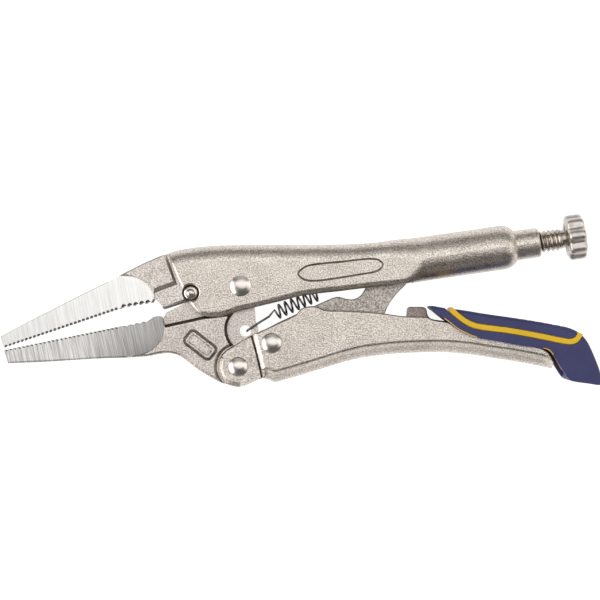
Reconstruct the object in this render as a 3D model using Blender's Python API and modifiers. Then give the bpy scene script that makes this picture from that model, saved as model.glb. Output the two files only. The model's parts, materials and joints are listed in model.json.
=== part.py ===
"""Long-nose locking pliers, lying on one side.

X runs along the tool to the right, Y across it and Z through its thickness.
Outlines are in millimetres from the main pivot, on the tool's middle plane.
"""
import math

import bmesh
import bpy
from mathutils import Vector

MM = 0.001

# Pivots, from the main pivot
JAW_PIVOT = (-0.7, -22.2)
LINK_PIVOT = (8.5, -15.7)
LEVER_PIVOT = (54.0, -12.2)
TOGGLE_END = (42.66, 6.4)
CROSS_PIN = (-13.7, -1.9)
SPRING_HOLE = (1.2, -12.4)
SCREW_ANGLE = math.radians(8.2)

# Half widths
HANDLE_OUT = 6.1
HANDLE_IN = 4.5
JAW_THICK = 5.2
JAW_TANG = 4.2
SLOT_HALF = 2.4
EAR_HALF = 2.1
YOKE_IN = 2.5
YOKE_OUT = 4.1
LOWER_IN = 3.6
LOWER_OUT = 5.1
LINK_HALF = 1.5
LEVER_HALF = 2.6
GRIP_HALF = 7.2
SLEEVE_IN = 6.4
CORE_HALF = 6.2
CORE_IN = 5.4

# Nose: half thickness at the tip and its rise per millimetre
TIP_X = -66.4
TIP_HALF = 1.6
NOSE_RISE = 0.074

# Screw, knob and rivets
ROD_R = 3.05
ROD_ROOT_R = 2.55
PITCH = 1.27
ROD_START = 4.9
KNOB_START = 47.9
KNOB_LENGTH = 4.9
KNOB_R = 5.75
COLLAR_R = 4.15
TUBE_R = 6.1
RIVET_R = 2.85

# The main pivot in the shared frame
SHIFT = (-16.3, 3.85, 7.2)


def clear_scene():
    for obj in list(bpy.data.objects):
        bpy.data.objects.remove(obj, do_unlink=True)


def collection(name, hidden=False):
    made = bpy.data.collections.new(name)
    bpy.context.scene.collection.children.link(made)
    made.hide_render = hidden
    return made


def material(name, colour, roughness, metallic):
    made = bpy.data.materials.new(name)
    made.use_nodes = True
    shader = made.node_tree.nodes["Principled BSDF"]
    shader.inputs["Base Color"].default_value = (*colour, 1.0)
    shader.inputs["Roughness"].default_value = roughness
    shader.inputs["Metallic"].default_value = metallic
    return made


def pivot(name, at, turn=None):
    made = bpy.data.objects.new(name, None)
    PARTS.objects.link(made)
    made.empty_display_size = 5 * MM
    made.location = [v * MM for v in at]
    if turn is not None:
        made.rotation_euler = turn
    if name != "main_pivot":
        made.parent = MAIN
    return made


def place(obj, parent, offset=True):
    """Hang obj on an empty; its mesh stays in main-pivot millimetres."""
    obj.parent = parent
    if offset and parent is not MAIN:
        obj.location = -parent.location


def as_mesh(curve_obj, group):
    """Swap a curve for a welded mesh of the same name."""
    name = curve_obj.name
    bpy.context.view_layer.update()
    graph = bpy.context.evaluated_depsgraph_get()
    mesh = bpy.data.meshes.new_from_object(curve_obj.evaluated_get(graph))
    bm = bmesh.new()
    bm.from_mesh(mesh)
    bmesh.ops.remove_doubles(bm, verts=bm.verts, dist=0.001 * MM)
    bmesh.ops.dissolve_limit(bm, angle_limit=0.0005, verts=bm.verts, edges=bm.edges)
    bmesh.ops.recalc_face_normals(bm, faces=bm.faces)
    bm.to_mesh(mesh)
    bm.free()
    matrix = curve_obj.matrix_world.copy()
    bpy.data.objects.remove(curve_obj, do_unlink=True)
    obj = bpy.data.objects.new(name, mesh)
    obj.matrix_world = matrix
    mesh.transform(matrix)
    obj.matrix_world.identity()
    group.objects.link(obj)
    return obj


def slab(name, outline, low, high, group=None):
    """A closed outline extruded from z = low to z = high."""
    group = group or PARTS
    curve = bpy.data.curves.new(name, "CURVE")
    curve.dimensions = "2D"
    curve.fill_mode = "BOTH"
    curve.extrude = 0.5 * (high - low) * MM
    spline = curve.splines.new("POLY")
    spline.points.add(len(outline) - 1)
    for point, (x, y) in zip(spline.points, outline):
        point.co = (x * MM, y * MM, 0.0, 1.0)
    spline.use_cyclic_u = True
    obj = bpy.data.objects.new(name, curve)
    obj.location.z = 0.5 * (high + low) * MM
    group.objects.link(obj)
    return as_mesh(obj, group)


def cutter(name, outline, low, high, both=False):
    """A slab in the cutters' collection, on one side or on both."""
    obj = slab(name, outline, low, high, CUTTERS)
    if both:
        two_sides(obj)
    as_cutter(obj)
    obj.parent = MAIN
    return obj


def as_cutter(obj):
    obj.display_type = "WIRE"
    obj.hide_render = True


def two_sides(obj):
    """Add the mirror image across the middle plane as a second piece."""
    bm = bmesh.new()
    bm.from_mesh(obj.data)
    copy = bmesh.ops.duplicate(bm, geom=bm.verts[:] + bm.edges[:] + bm.faces[:])
    verts = [g for g in copy["geom"] if isinstance(g, bmesh.types.BMVert)]
    faces = [g for g in copy["geom"] if isinstance(g, bmesh.types.BMFace)]
    for v in verts:
        v.co.z = -v.co.z
    bmesh.ops.reverse_faces(bm, faces=faces)
    bm.to_mesh(obj.data)
    bm.free()


def round_cutter(name, centre, radius, low, high, both=False, sides=32):
    """A cylinder along Z in the cutters' collection."""
    mesh = bpy.data.meshes.new(name)
    bm = bmesh.new()
    bmesh.ops.create_cone(bm, cap_ends=True, segments=sides, radius1=radius * MM,
                          radius2=radius * MM, depth=(high - low) * MM)
    bmesh.ops.translate(bm, verts=bm.verts,
                        vec=Vector((centre[0], centre[1], 0.5 * (low + high))) * MM)
    bm.to_mesh(mesh)
    bm.free()
    obj = bpy.data.objects.new(name, mesh)
    CUTTERS.objects.link(obj)
    if both:
        two_sides(obj)
    as_cutter(obj)
    obj.parent = MAIN
    return obj


def axis_cylinder(name, radius, start, end, edge=0.0, sides=40):
    """A cylinder on the screw axis, measured from the toggle's end."""
    mesh = bpy.data.meshes.new(name)
    bm = bmesh.new()
    bmesh.ops.create_cone(bm, cap_ends=True, segments=sides, radius1=radius * MM,
                          radius2=radius * MM, depth=(end - start) * MM)
    bmesh.ops.translate(bm, verts=bm.verts, vec=(0, 0, 0.5 * (start + end) * MM))
    if edge:
        far = [e for e in bm.edges if all(v.co.z > (end - 0.01) * MM for v in e.verts)]
        bmesh.ops.bevel(bm, geom=far, offset=edge * MM, segments=3, affect="EDGES",
                        profile=0.5)
    bm.to_mesh(mesh)
    bm.free()
    obj = bpy.data.objects.new(name, mesh)
    CUTTERS.objects.link(obj)
    as_cutter(obj)
    obj.parent = SCREW_AXIS
    return obj


def boolean(obj, other, operation):
    mod = obj.modifiers.new(other.name, "BOOLEAN")
    mod.operation = operation
    mod.solver = "EXACT"
    mod.object = other


def cut(obj, *others):
    for other in others:
        boolean(obj, other, "DIFFERENCE")


def add(obj, *others):
    for other in others:
        boolean(obj, other, "UNION")


def soften(obj, offset, test, segments=3):
    """Round the outline's edges for which test(x, y) holds at both ends."""
    bm = bmesh.new()
    bm.from_mesh(obj.data)
    top = max(v.co.z for v in bm.verts)
    low = min(v.co.z for v in bm.verts)
    chosen = []
    for e in bm.edges:
        flat = all(abs(v.co.z - top) < 1e-6 for v in e.verts)
        flat = flat or all(abs(v.co.z - low) < 1e-6 for v in e.verts)
        rim = len(e.link_faces) == 2 and e.calc_face_angle(0.0) > 0.5
        if flat and rim and all(test(v.co.x / MM, v.co.y / MM) for v in e.verts):
            chosen.append(e)
    bmesh.ops.bevel(bm, geom=chosen, offset=offset * MM, segments=segments,
                    affect="EDGES", profile=0.5)
    bmesh.ops.recalc_face_normals(bm, faces=bm.faces)
    bm.to_mesh(obj.data)
    bm.free()


def wedge(name, outline, lift=0.0):
    """Cutter for a ground nose: what lies outside a plane tapering to the tip."""
    obj = slab(name, outline, 1.0, 9.0, CUTTERS)
    for v in obj.data.vertices:
        if v.co.z < 2.0 * MM:
            rise = TIP_HALF + lift + NOSE_RISE * (v.co.x / MM - TIP_X)
            v.co.z = rise * MM
    two_sides(obj)
    as_cutter(obj)
    obj.parent = MAIN
    return obj


def turned(name, profile, parent, at=(0.0, 0.0), steps=28):
    """A profile of (radius, height) turned about Z through at."""
    mesh = bpy.data.meshes.new(name)
    bm = bmesh.new()
    verts = [bm.verts.new((r * MM, 0.0, z * MM)) for r, z in profile]
    for a, b in zip(verts, verts[1:]):
        bm.edges.new((a, b))
    bm.to_mesh(mesh)
    bm.free()
    obj = bpy.data.objects.new(name, mesh)
    PARTS.objects.link(obj)
    mod = obj.modifiers.new("turn", "SCREW")
    mod.axis = "Z"
    mod.steps = steps
    mod.render_steps = steps
    mod.use_merge_vertices = True
    mod.merge_threshold = 0.00002
    obj.parent = parent
    obj.location = (at[0] * MM, at[1] * MM, 0.0)
    return obj


def rivet_profile(head, shank, seat, crown):
    """A rivet with a domed head at each end, from its top down."""
    half = [(0.0, crown), (0.45 * head, crown - 0.08), (0.78 * head, crown - 0.3),
            (0.96 * head, crown - 0.62), (head, seat + 0.12), (head, seat),
            (shank, seat)]
    return half + [(r, -z) for r, z in reversed(half)]


def teeth(start, end, pitch, depth):
    """Zigzag from start to end; each tooth cuts in to the left of the run."""
    a = Vector(start)
    b = Vector(end)
    run = b - a
    side = Vector((-run.y, run.x)).normalized() * depth
    count = max(1, round(run.length / pitch))
    out = []
    for i in range(count):
        out.append(tuple(a + run * (i / count)))
        out.append(tuple(a + run * ((i + 0.5) / count) + side))
    out.append(tuple(b))
    return out


def offset_line(points, distance, closed=False):
    """Shift a polyline sideways, to its left when distance is positive."""
    out = []
    last = len(points) - 1
    for i, p in enumerate(points):
        before = Vector(points[i - 1 if closed else max(i - 1, 0)])
        after = Vector(points[(i + 1) % (last + 1) if closed else min(i + 1, last)])
        run = (after - before).normalized()
        out.append((p[0] - run.y * distance, p[1] + run.x * distance))
    return out


def circle_arc(centre, radius, start, end, count):
    """Points on an arc, angles in degrees."""
    out = []
    for i in range(count + 1):
        a = math.radians(start + (end - start) * i / count)
        out.append((centre[0] + radius * math.cos(a), centre[1] + radius * math.sin(a)))
    return out


clear_scene()
PARTS = collection("locking_pliers")
CUTTERS = collection("cutters", hidden=True)
MAIN = pivot("main_pivot", SHIFT)
JAW_AXIS = pivot("jaw_pivot", (*JAW_PIVOT, 0.0))
LINK_AXIS = pivot("link_pivot", (*LINK_PIVOT, 0.0))
LEVER_AXIS = pivot("lever_pivot", (*LEVER_PIVOT, 0.0))
SCREW_AXIS = pivot("screw_axis", (*TOGGLE_END, 0.0),
                   (0.0, math.pi / 2, SCREW_ANGLE))

NICKEL = (0.60, 0.55, 0.50)
GROUND = (0.68, 0.67, 0.65)
DARK = (0.08, 0.075, 0.07)

# ---------------------------------------------------------------- upper handle
HANDLE_TOP = [(52.4, 13.9), (44.0, 13.0), (35.7, 11.9), (27.4, 11.4), (16.3, 11.4),
              (-3.0, 11.4), (-11.4, 10.8), (-14.1, 10.5), (-16.9, 10.0), (-19.6, 9.2)]
HANDLE_FRONT = [(-19.4, 8.3), (-18.4, 5.0), (-16.6, 0.8), (-13.7, -4.7), (-11.8, -6.8),
                (-10.0, -8.0), (-7.5, -8.6), (-4.7, -8.2), (-0.6, -6.8), (3.0, -6.1)]
HANDLE_BOTTOM = [(5.3, -5.5), (10.8, -4.2), (16.3, -2.8), (19.1, -2.2), (21.9, -2.2),
                 (27.4, -1.4), (33.0, -0.6), (38.5, -0.1), (46.8, 0.6), (49.6, 1.7),
                 (54.0, 2.4)]
handle = slab("upper_handle", HANDLE_TOP + HANDLE_FRONT + HANDLE_BOTTOM,
              -HANDLE_OUT, HANDLE_OUT)
soften(handle, 1.9, lambda x, y: y > 8.9 + 0.08 * max(x - 20.0, 0.0) and x < 50.0)
place(handle, MAIN)
handle.data.materials.append(material("satin_nickel", NICKEL, 0.42, 0.9))
channel = cutter("handle_channel", [(48.0, 11.9), (44.0, 11.4), (35.7, 10.3), (27.4, 9.8),
                                    (-3.0, 9.8), (-11.4, 9.2), (-14.1, 8.9),
                                    (-24.0, 6.9), (-24.0, -14.0), (48.0, -14.0)],
                 -HANDLE_IN, HANDLE_IN)
add(handle, axis_cylinder("tube_outer", TUBE_R, 7.0, 33.6, edge=1.8),
    axis_cylinder("collar_outer", COLLAR_R, 33.0, 40.2, edge=0.4))
cut(handle, channel,
    axis_cylinder("tube_bore", 4.6, 2.0, 32.0),
    axis_cylinder("collar_bore", ROD_R + 0.25, 30.0, 44.0),
    round_cutter("main_hole", (0.0, 0.0), 2.5, -9.0, 9.0),
    round_cutter("pin_notch", CROSS_PIN, 2.4, HANDLE_IN - 0.6, 9.0, both=True))
spring_tab = cutter("spring_tab", [(29.0, 10.4), (29.4, 6.4), (30.6, 6.4), (31.0, 10.4)],
                    -1.4, 1.4)
add(handle, spring_tab)

# ------------------------------------------------------------------- upper jaw
UPPER_TEETH = teeth((-65.3, -17.0), (-33.6, -6.3), 1.2, 0.3)
UPPER_COARSE = teeth((-32.9, -6.0), (-24.6, -4.6), 1.8, 0.45)
jaw_top = [(-20.0, 8.9), (-21.2, 8.7), (-25.2, 7.5), (-28.0, 6.1), (-33.9, 2.5),
           (-41.8, -1.1), (-52.9, -6.9), (-61.2, -10.9), (-66.2, -13.8), (-66.4, -14.3)]
jaw_rear = [(-24.0, -3.6), (-23.6, -1.9), (-17.4, -0.3), (-17.2, 0.5), (-18.9, 4.8),
            (-19.9, 8.1)]
upper_jaw = slab("upper_jaw", jaw_top + UPPER_TEETH + UPPER_COARSE + jaw_rear,
                 -JAW_THICK, JAW_THICK)
soften(upper_jaw, 1.2, lambda x, y: y > 1.9 and -40.0 < x < -19.95, 2)
place(upper_jaw, MAIN)
upper_jaw.data.materials.append(material("jaw_steel", GROUND, 0.36, 0.9))
TANG = [(-26.0, -4.6), (-24.4, -4.6), (-23.5, -3.6), (-22.2, -4.7), (-21.1, -6.4),
        (-13.7, -4.0), (-9.0, -4.2), (-6.0, -5.0)]
TANG += circle_arc((0.0, 0.0), 6.2, 232, 350, 8)
TANG += [(6.9, 3.0), (6.4, 9.3), (-3.0, 9.3), (-11.4, 8.7), (-14.1, 8.4), (-19.0, 7.2),
         (-26.0, 6.0)]
tang = cutter("jaw_tang", TANG, -JAW_TANG, JAW_TANG)
ground = wedge("ground_upper", [(-70.0, -22.0), (-23.4, -6.0), (-23.5, -3.5),
                                (-24.4, -1.7), (-26.1, 0.7), (-29.4, 2.5),
                                (-34.3, 2.9), (-36.0, 6.0), (-70.0, -6.0)])
slot = cutter("fork_slot", [(-22.8, -9.0), (-22.2, -5.3), (-14.6, -2.4), (-9.4, -0.4)]
              + circle_arc((0.0, 0.0), 6.7, 150, 0, 12) + [(9.0, -2.0), (9.0, -9.0)],
              -SLOT_HALF, SLOT_HALF)
cut(upper_jaw, ground)
add(upper_jaw, tang)
cut(upper_jaw, slot, round_cutter("jaw_main_hole", (0.0, 0.0), 2.5, -9.0, 9.0),
    round_cutter("jaw_pin_hole", CROSS_PIN, 1.3, -9.0, 9.0, sides=20))

# ------------------------------------------------------------------- lower jaw
lower_teeth = teeth((-33.6, -11.15), (-65.3, -17.6), 1.2, 0.3)
lower_coarse = teeth((-25.4, -9.5), (-32.6, -11.05), 1.8, 0.4)
LOWER_BOTTOM = [(-66.1, -19.6), (-64.4, -21.5), (-52.9, -20.8), (-39.1, -19.9),
                (-30.7, -19.7), (-25.2, -19.4), (-22.4, -18.6), (-19.7, -18.6),
                (-16.9, -19.1), (-14.1, -21.3), (-11.4, -23.3), (-8.6, -24.9),
                (-5.8, -26.3), (-3.0, -27.3)]
tail = circle_arc(JAW_PIVOT, 5.5, 262, 360, 8)
lower_jaw = slab("lower_jaw", lower_coarse + lower_teeth + LOWER_BOTTOM + tail
                 + [(2.8, -18.0), (4.0, -13.3), (4.7, -12.5), (4.7, -11.4), (4.0, -9.6),
                    (3.9, -7.6), (2.0, -7.3), (-2.0, -7.4), (-6.5, -7.9), (-10.2, -8.3),
                    (-21.1, -10.7), (-21.5, -9.0), (-22.4, -8.3), (-23.8, -8.4)],
                 -JAW_TANG, JAW_TANG)
soften(lower_jaw, 0.8, lambda x, y: -24.0 < x < -5.0 and y < -18.0, 2)
place(lower_jaw, MAIN)
lower_jaw.data.materials.append(material("lower_jaw_steel", GROUND, 0.38, 0.9))
ground_low = wedge("ground_lower", [(-70.0, -10.0), (-22.0, -6.0), (-21.5, -8.3),
                                    (-21.1, -12.5), (-21.6, -14.4), (-23.0, -16.3),
                                    (-25.2, -17.9), (-28.0, -18.8), (-29.9, -20.4),
                                    (-30.5, -26.0), (-70.0, -26.0)], lift=-0.2)
ear = cutter("jaw_ear", [(-21.3, -11.5), (-21.4, -8.8), (-20.6, -7.3), (-14.0, -4.0),
                         (-8.6, -2.6)] + circle_arc((0.0, 0.0), 5.6, 165, -50, 16)
             + [(3.9, -7.6), (4.0, -9.6), (4.7, -11.4), (4.7, -12.5), (4.0, -13.3),
                (4.0, -19.0), (-3.0, -19.0), (-10.0, -12.0)], -EAR_HALF, EAR_HALF)
cut(lower_jaw, ground_low,
    round_cutter("yoke_recess", JAW_PIVOT, 6.2, EAR_HALF, 9.0, both=True, sides=40),
    round_cutter("ear_recess", (2.5, -11.9), 6.4, EAR_HALF, 9.0, both=True, sides=40))
add(lower_jaw, ear)
cut(lower_jaw, round_cutter("ear_hole", (0.0, 0.0), 2.5, -9.0, 9.0),
    round_cutter("tail_hole", JAW_PIVOT, 2.3, -9.0, 9.0),
    round_cutter("hook_hole", SPRING_HOLE, 1.6, -9.0, 9.0, sides=24))

# ---------------------------------------------------------------- lower handle
LOWER_TOP = [(7.0, -11.8), (10.8, -10.2), (15.8, -7.6), (16.6, -6.3), (18.0, -5.8),
             (19.9, -5.5), (21.5, -5.8), (22.9, -6.6), (28.0, -6.8), (34.3, -7.1),
             (39.7, -7.6), (44.6, -8.3), (51.2, -8.6), (52.9, -9.3), (55.0, -9.6),
             (57.1, -9.9), (60.0, -11.4), (64.0, -13.0), (70.0, -14.3), (77.0, -15.8),
             (82.0, -16.8), (83.8, -17.4), (85.3, -20.0), (86.4, -22.7)]
LOWER_SPINE = [(80.1, -21.6), (74.5, -20.6), (69.0, -19.8), (63.4, -18.9), (57.9, -18.4),
               (52.4, -18.3), (44.0, -18.6), (38.5, -19.1), (33.0, -19.9),
               (27.4, -21.3), (21.9, -23.0), (16.3, -24.7), (13.3, -25.5),
               (11.1, -26.2), (9.1, -26.6), (7.8, -26.0), (6.1, -25.5), (4.6, -18.0),
               (3.9, -13.3)]
lower_handle = slab("lower_handle", LOWER_TOP + LOWER_SPINE, -LOWER_OUT, LOWER_OUT)
soften(lower_handle, 1.3, lambda x, y: 10.9 < x < 81.0 and y < -18.0)
place(lower_handle, JAW_AXIS)
lower_handle.data.materials.append(material("satin_nickel_lower", NICKEL, 0.42, 0.9))
yoke = cutter("yoke", circle_arc(JAW_PIVOT, 4.6, 150, 310, 14)
              + [(5.0, -25.7), (6.8, -25.2), (7.4, -12.2), (5.8, -12.2), (1.9, -14.1),
                 (-3.8, -17.5)], YOKE_IN, YOKE_OUT, both=True)
trough = cutter("trough", [(2.0, -4.0), (2.0, -24.6), (9.1, -25.0), (13.3, -24.0),
                           (16.3, -23.2), (21.9, -21.5), (27.4, -19.8), (33.0, -18.4),
                           (38.5, -17.6), (44.0, -17.1), (52.4, -16.8), (57.9, -16.9),
                           (63.4, -17.4), (69.0, -18.3), (74.5, -19.1), (90.0, -22.0),
                           (90.0, -4.0)], -LOWER_IN, LOWER_IN)
cut(lower_handle, trough)
add(lower_handle, yoke)
cut(lower_handle, round_cutter("yoke_hole", JAW_PIVOT, 2.3, -9.0, 9.0),
    round_cutter("lower_link_hole", LINK_PIVOT, 2.3, -9.0, 9.0),
    round_cutter("lever_dimples", LEVER_PIVOT, 1.45, -4.7, 4.7, sides=20))

# ---------------------------------------------------------------- toggle link
LINK = circle_arc(LINK_PIVOT, 4.2, 250, 120, 10)
LINK += [(10.8, -9.8), (25.4, -3.3), (26.9, -3.1), (29.4, -3.6), (31.3, -3.6),
         (33.1, -2.6), (34.3, -0.8), (37.2, 4.2)]
LINK += circle_arc(TOGGLE_END, 3.3, 150, -20, 10)
LINK += [(45.4, 2.0), (45.2, -0.4), (42.8, -2.5), (40.7, -5.3), (39.7, -7.5),
         (36.0, -10.2), (25.0, -16.8), (14.0, -19.8)]
link = slab("toggle_link", LINK, -LINK_HALF, LINK_HALF)
place(link, LINK_AXIS)
link.data.materials.append(material("link_steel", (0.45, 0.42, 0.39), 0.45, 0.9))
cut(link, round_cutter("link_hole", LINK_PIVOT, 2.3, -9.0, 9.0))

# ------------------------------------------------------------- rivets and pins
CHROME = (0.72, 0.70, 0.68)
main_rivet = turned("main_rivet", rivet_profile(RIVET_R, 2.2, 6.3, 7.2), MAIN)
main_rivet.data.materials.append(material("rivet_main", CHROME, 0.18, 1.0))
jaw_rivet = turned("jaw_rivet", rivet_profile(2.7, 2.0, 4.3, 5.3), JAW_AXIS)
jaw_rivet.data.materials.append(material("rivet_jaw", CHROME, 0.2, 1.0))
link_rivet = turned("link_rivet", rivet_profile(2.8, 2.0, 5.3, 6.25), LINK_AXIS)
link_rivet.data.materials.append(material("rivet_link", CHROME, 0.2, 1.0))
PIN_HALF = [(0.0, 5.7), (0.8, 5.6), (1.1, 5.3), (1.15, 5.0), (1.75, 4.9), (1.8, 4.4),
            (1.1, 4.4)]
cross_pin = turned("jaw_cross_pin", PIN_HALF + [(r, -z) for r, z in reversed(PIN_HALF)],
                   MAIN, CROSS_PIN, steps=20)
cross_pin.data.materials.append(material("pin_steel", CHROME, 0.25, 1.0))
lever_pin = turned("lever_pin", [(0.0, 4.4), (1.0, 4.4), (1.2, 4.2), (1.2, -4.2),
                                 (1.0, -4.4), (0.0, -4.4)], LEVER_AXIS, steps=20)
lever_pin.data.materials.append(material("lever_pin_steel", (0.4, 0.38, 0.36), 0.4, 1.0))

# ------------------------------------------------------------- screw and knob
ROD = [(0.0, KNOB_START + KNOB_LENGTH - 0.6), (1.95, KNOB_START + KNOB_LENGTH - 0.6),
       (1.95, KNOB_START - 0.4), (2.5, KNOB_START - 0.6)]
turns = int((KNOB_START - 1.8 - ROD_START - 10.0) / PITCH)
for turn in range(turns):
    crest = KNOB_START - 1.8 - turn * PITCH
    ROD.append((ROD_R, crest))
    ROD.append((ROD_ROOT_R, crest - 0.5 * PITCH))
ROD += [(ROD_R, KNOB_START - 1.8 - turns * PITCH), (ROD_R, ROD_START + 0.5),
        (ROD_R - 0.5, ROD_START), (0.0, ROD_START)]
rod = turned("adjusting_screw", ROD, SCREW_AXIS, steps=20)
rod.data.materials.append(material("screw_steel", (0.55, 0.51, 0.46), 0.35, 1.0))

knob_curve = bpy.data.curves.new("screw_knob", "CURVE")
knob_curve.dimensions = "2D"
knob_curve.fill_mode = "BOTH"
knob_curve.bevel_depth = 0.7 * MM
knob_curve.bevel_resolution = 2
knob_curve.offset = -0.7 * MM
knob_curve.extrude = (0.5 * KNOB_LENGTH - 0.7) * MM
flutes = knob_curve.splines.new("POLY")
flutes.points.add(63)
for index, point in enumerate(flutes.points):
    angle = 2.0 * math.pi * index / 64
    radius = (KNOB_R + 0.5 * math.cos(8 * angle)) * MM
    point.co = (radius * math.cos(angle), radius * math.sin(angle), 0.0, 1.0)
flutes.use_cyclic_u = True
bore = knob_curve.splines.new("POLY")
bore.points.add(19)
for index, point in enumerate(bore.points):
    angle = -2.0 * math.pi * index / 20
    # The curve's offset widens this inner ring by the bevel.
    point.co = (2.3 * MM * math.cos(angle), 2.3 * MM * math.sin(angle), 0.0, 1.0)
bore.use_cyclic_u = True
knob = bpy.data.objects.new("screw_knob", knob_curve)
PARTS.objects.link(knob)
knob.location = (0.0, 0.0, 0.0)
knob = as_mesh(knob, PARTS)
knob.parent = SCREW_AXIS
knob.location.z = (KNOB_START + 0.5 * KNOB_LENGTH) * MM
knob.data.materials.append(material("knob_nickel", NICKEL, 0.38, 0.95))

# --------------------------------------------------------------------- spring
COIL_R = 1.75
WIRE_R = 0.32
coil_from = Vector((10.0, -7.2, 0.0))
coil_to = Vector((21.6, -2.0, 0.0))
along = (coil_to - coil_from).normalized()
across = Vector((-along.y, along.x, 0.0))
wire = [Vector((1.2, -12.4, -1.2)), Vector((1.2, -12.4, 2.0)), Vector((2.2, -11.9, 2.75)),
        Vector((5.2, -9.9, 2.7)), Vector((8.4, -7.9, 2.0))]
PER_TURN = 10
TURNS = 9
for step in range(PER_TURN * TURNS + 1):
    angle = 2.0 * math.pi * step / PER_TURN + math.radians(60)
    centre = coil_from.lerp(coil_to, step / (PER_TURN * TURNS))
    wire.append(centre + across * COIL_R * math.cos(angle)
                + Vector((0.0, 0.0, 1.0)) * COIL_R * math.sin(angle))
wire += [Vector((23.6, -0.6, 0.8)), Vector((28.4, 6.0, 2.0)), Vector((29.4, 8.0, 2.1)),
         Vector((31.2, 8.4, 2.0)), Vector((32.0, 8.4, 0.6))]
spring_curve = bpy.data.curves.new("return_spring", "CURVE")
spring_curve.dimensions = "3D"
spring_curve.bevel_depth = WIRE_R * MM
spring_curve.bevel_resolution = 1
spring_curve.use_fill_caps = True
strand = spring_curve.splines.new("POLY")
strand.points.add(len(wire) - 1)
for point, at in zip(strand.points, wire):
    point.co = (at.x * MM, at.y * MM, at.z * MM, 1.0)
spring = bpy.data.objects.new("return_spring", spring_curve)
PARTS.objects.link(spring)
spring.parent = MAIN
spring_curve.materials.append(material("spring_steel", DARK, 0.35, 0.9))

# -------------------------------------------------------------- release lever
LEVER = [(39.4, -10.2), (40.2, -9.8), (44.5, -9.5), (45.8, -8.4), (46.0, -6.1),
         (46.4, -5.8), (50.9, -5.8), (51.2, -6.3), (51.5, -8.4), (56.0, -9.6),
         (60.0, -10.2), (70.0, -10.9), (80.0, -12.3), (83.0, -12.9), (83.0, -13.9),
         (70.0, -13.3), (60.0, -14.2), (54.0, -15.4), (50.0, -14.4), (44.0, -12.6),
         (39.8, -11.6)]
lever = slab("release_lever", LEVER, -LEVER_HALF, LEVER_HALF)
place(lever, LEVER_AXIS)
lever.data.materials.append(material("lever_steel", (0.30, 0.28, 0.26), 0.45, 0.9))
cut(lever, round_cutter("lever_hole", LEVER_PIVOT, 1.45, -9.0, 9.0, sides=20))

# ----------------------------------------------------------------------- grip
GRIP_TOP = [(52.4, -5.7), (55.1, -6.0), (60.7, -6.6), (66.2, -7.5), (71.7, -8.3),
            (77.3, -9.1), (82.8, -10.0), (85.9, -10.8), (88.1, -11.0), (90.3, -11.5),
            (92.2, -12.4), (93.6, -13.4), (95.2, -15.2), (96.4, -18.0), (97.7, -21.2),
            (99.0, -25.2), (99.0, -26.5), (98.2, -27.1)]
GRIP_LOW = [(95.2, -26.7), (90.2, -25.9), (89.5, -25.2), (88.3, -23.4), (86.5, -20.5),
            (85.3, -18.6), (84.4, -17.6), (82.8, -17.1), (77.0, -16.5), (70.1, -15.0),
            (64.0, -14.0), (62.0, -13.1), (59.3, -11.9), (57.0, -9.9), (55.0, -8.5),
            (52.4, -6.5)]
CORE = [(57.0, -7.2), (60.8, -7.6), (66.1, -8.5), (71.6, -9.3), (77.2, -10.1),
        (82.7, -11.0), (86.0, -11.9), (90.0, -12.6), (92.0, -13.6), (94.2, -15.8),
        (96.0, -20.0), (97.2, -24.8), (95.0, -25.6), (90.9, -24.9), (89.2, -23.0),
        (87.4, -20.0), (86.1, -17.9), (84.6, -16.7), (82.5, -16.2), (77.2, -15.5),
        (70.3, -14.0), (64.4, -13.0), (60.0, -11.0), (58.0, -9.2)]
HOLLOW = [(50.0, -8.8), (57.0, -8.9), (62.0, -10.9), (70.0, -12.1), (78.0, -12.6),
          (85.5, -13.4), (87.8, -17.0), (89.2, -21.0), (90.0, -24.0), (88.6, -27.5),
          (50.0, -27.5)]
STRIPE = [(57.5, -6.4), (59.4, -8.1), (61.9, -9.9), (64.7, -11.0), (73.5, -12.2),
          (82.4, -13.8), (87.7, -14.9), (90.5, -15.2), (92.1, -14.4), (92.9, -12.9)]
LONG_STRIPE = [(55.6, -4.4)] + STRIPE + [(93.7, -11.0)]

hollow = cutter("grip_hollow", HOLLOW, -CORE_IN, CORE_IN)
core_room = cutter("core_room", offset_line(CORE, 0.2, closed=True),
                   -SLEEVE_IN, SLEEVE_IN)
above_lo = cutter("above_sleeve", offset_line(LONG_STRIPE, -0.95)
                  + [(94.0, 0.0), (54.0, 0.0)], -9.0, 9.0)
above_hi = cutter("above_pad", offset_line(LONG_STRIPE, 0.95)
                  + [(93.0, 0.0), (57.0, 0.0)], -9.0, 9.0)

sleeve = slab("grip_sleeve", GRIP_TOP + GRIP_LOW, -GRIP_HALF, GRIP_HALF)
soften(sleeve, 0.9, lambda x, y: x > 54.5 and not (x > 88.0 and y < -22.0), 2)
place(sleeve, LEVER_AXIS)
sleeve.data.materials.append(material("grip_blue", (0.045, 0.05, 0.14), 0.55, 0.0))
cut(sleeve, core_room, hollow, above_lo)

pad = slab("grip_pad", GRIP_TOP + GRIP_LOW, -GRIP_HALF, GRIP_HALF)
soften(pad, 0.9, lambda x, y: x > 54.5 and y > -14.0, 2)
place(pad, LEVER_AXIS)
pad.data.materials.append(material("grip_blue_pad", (0.045, 0.05, 0.14), 0.55, 0.0))
boolean(pad, above_hi, "INTERSECT")
cut(pad, core_room)

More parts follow.
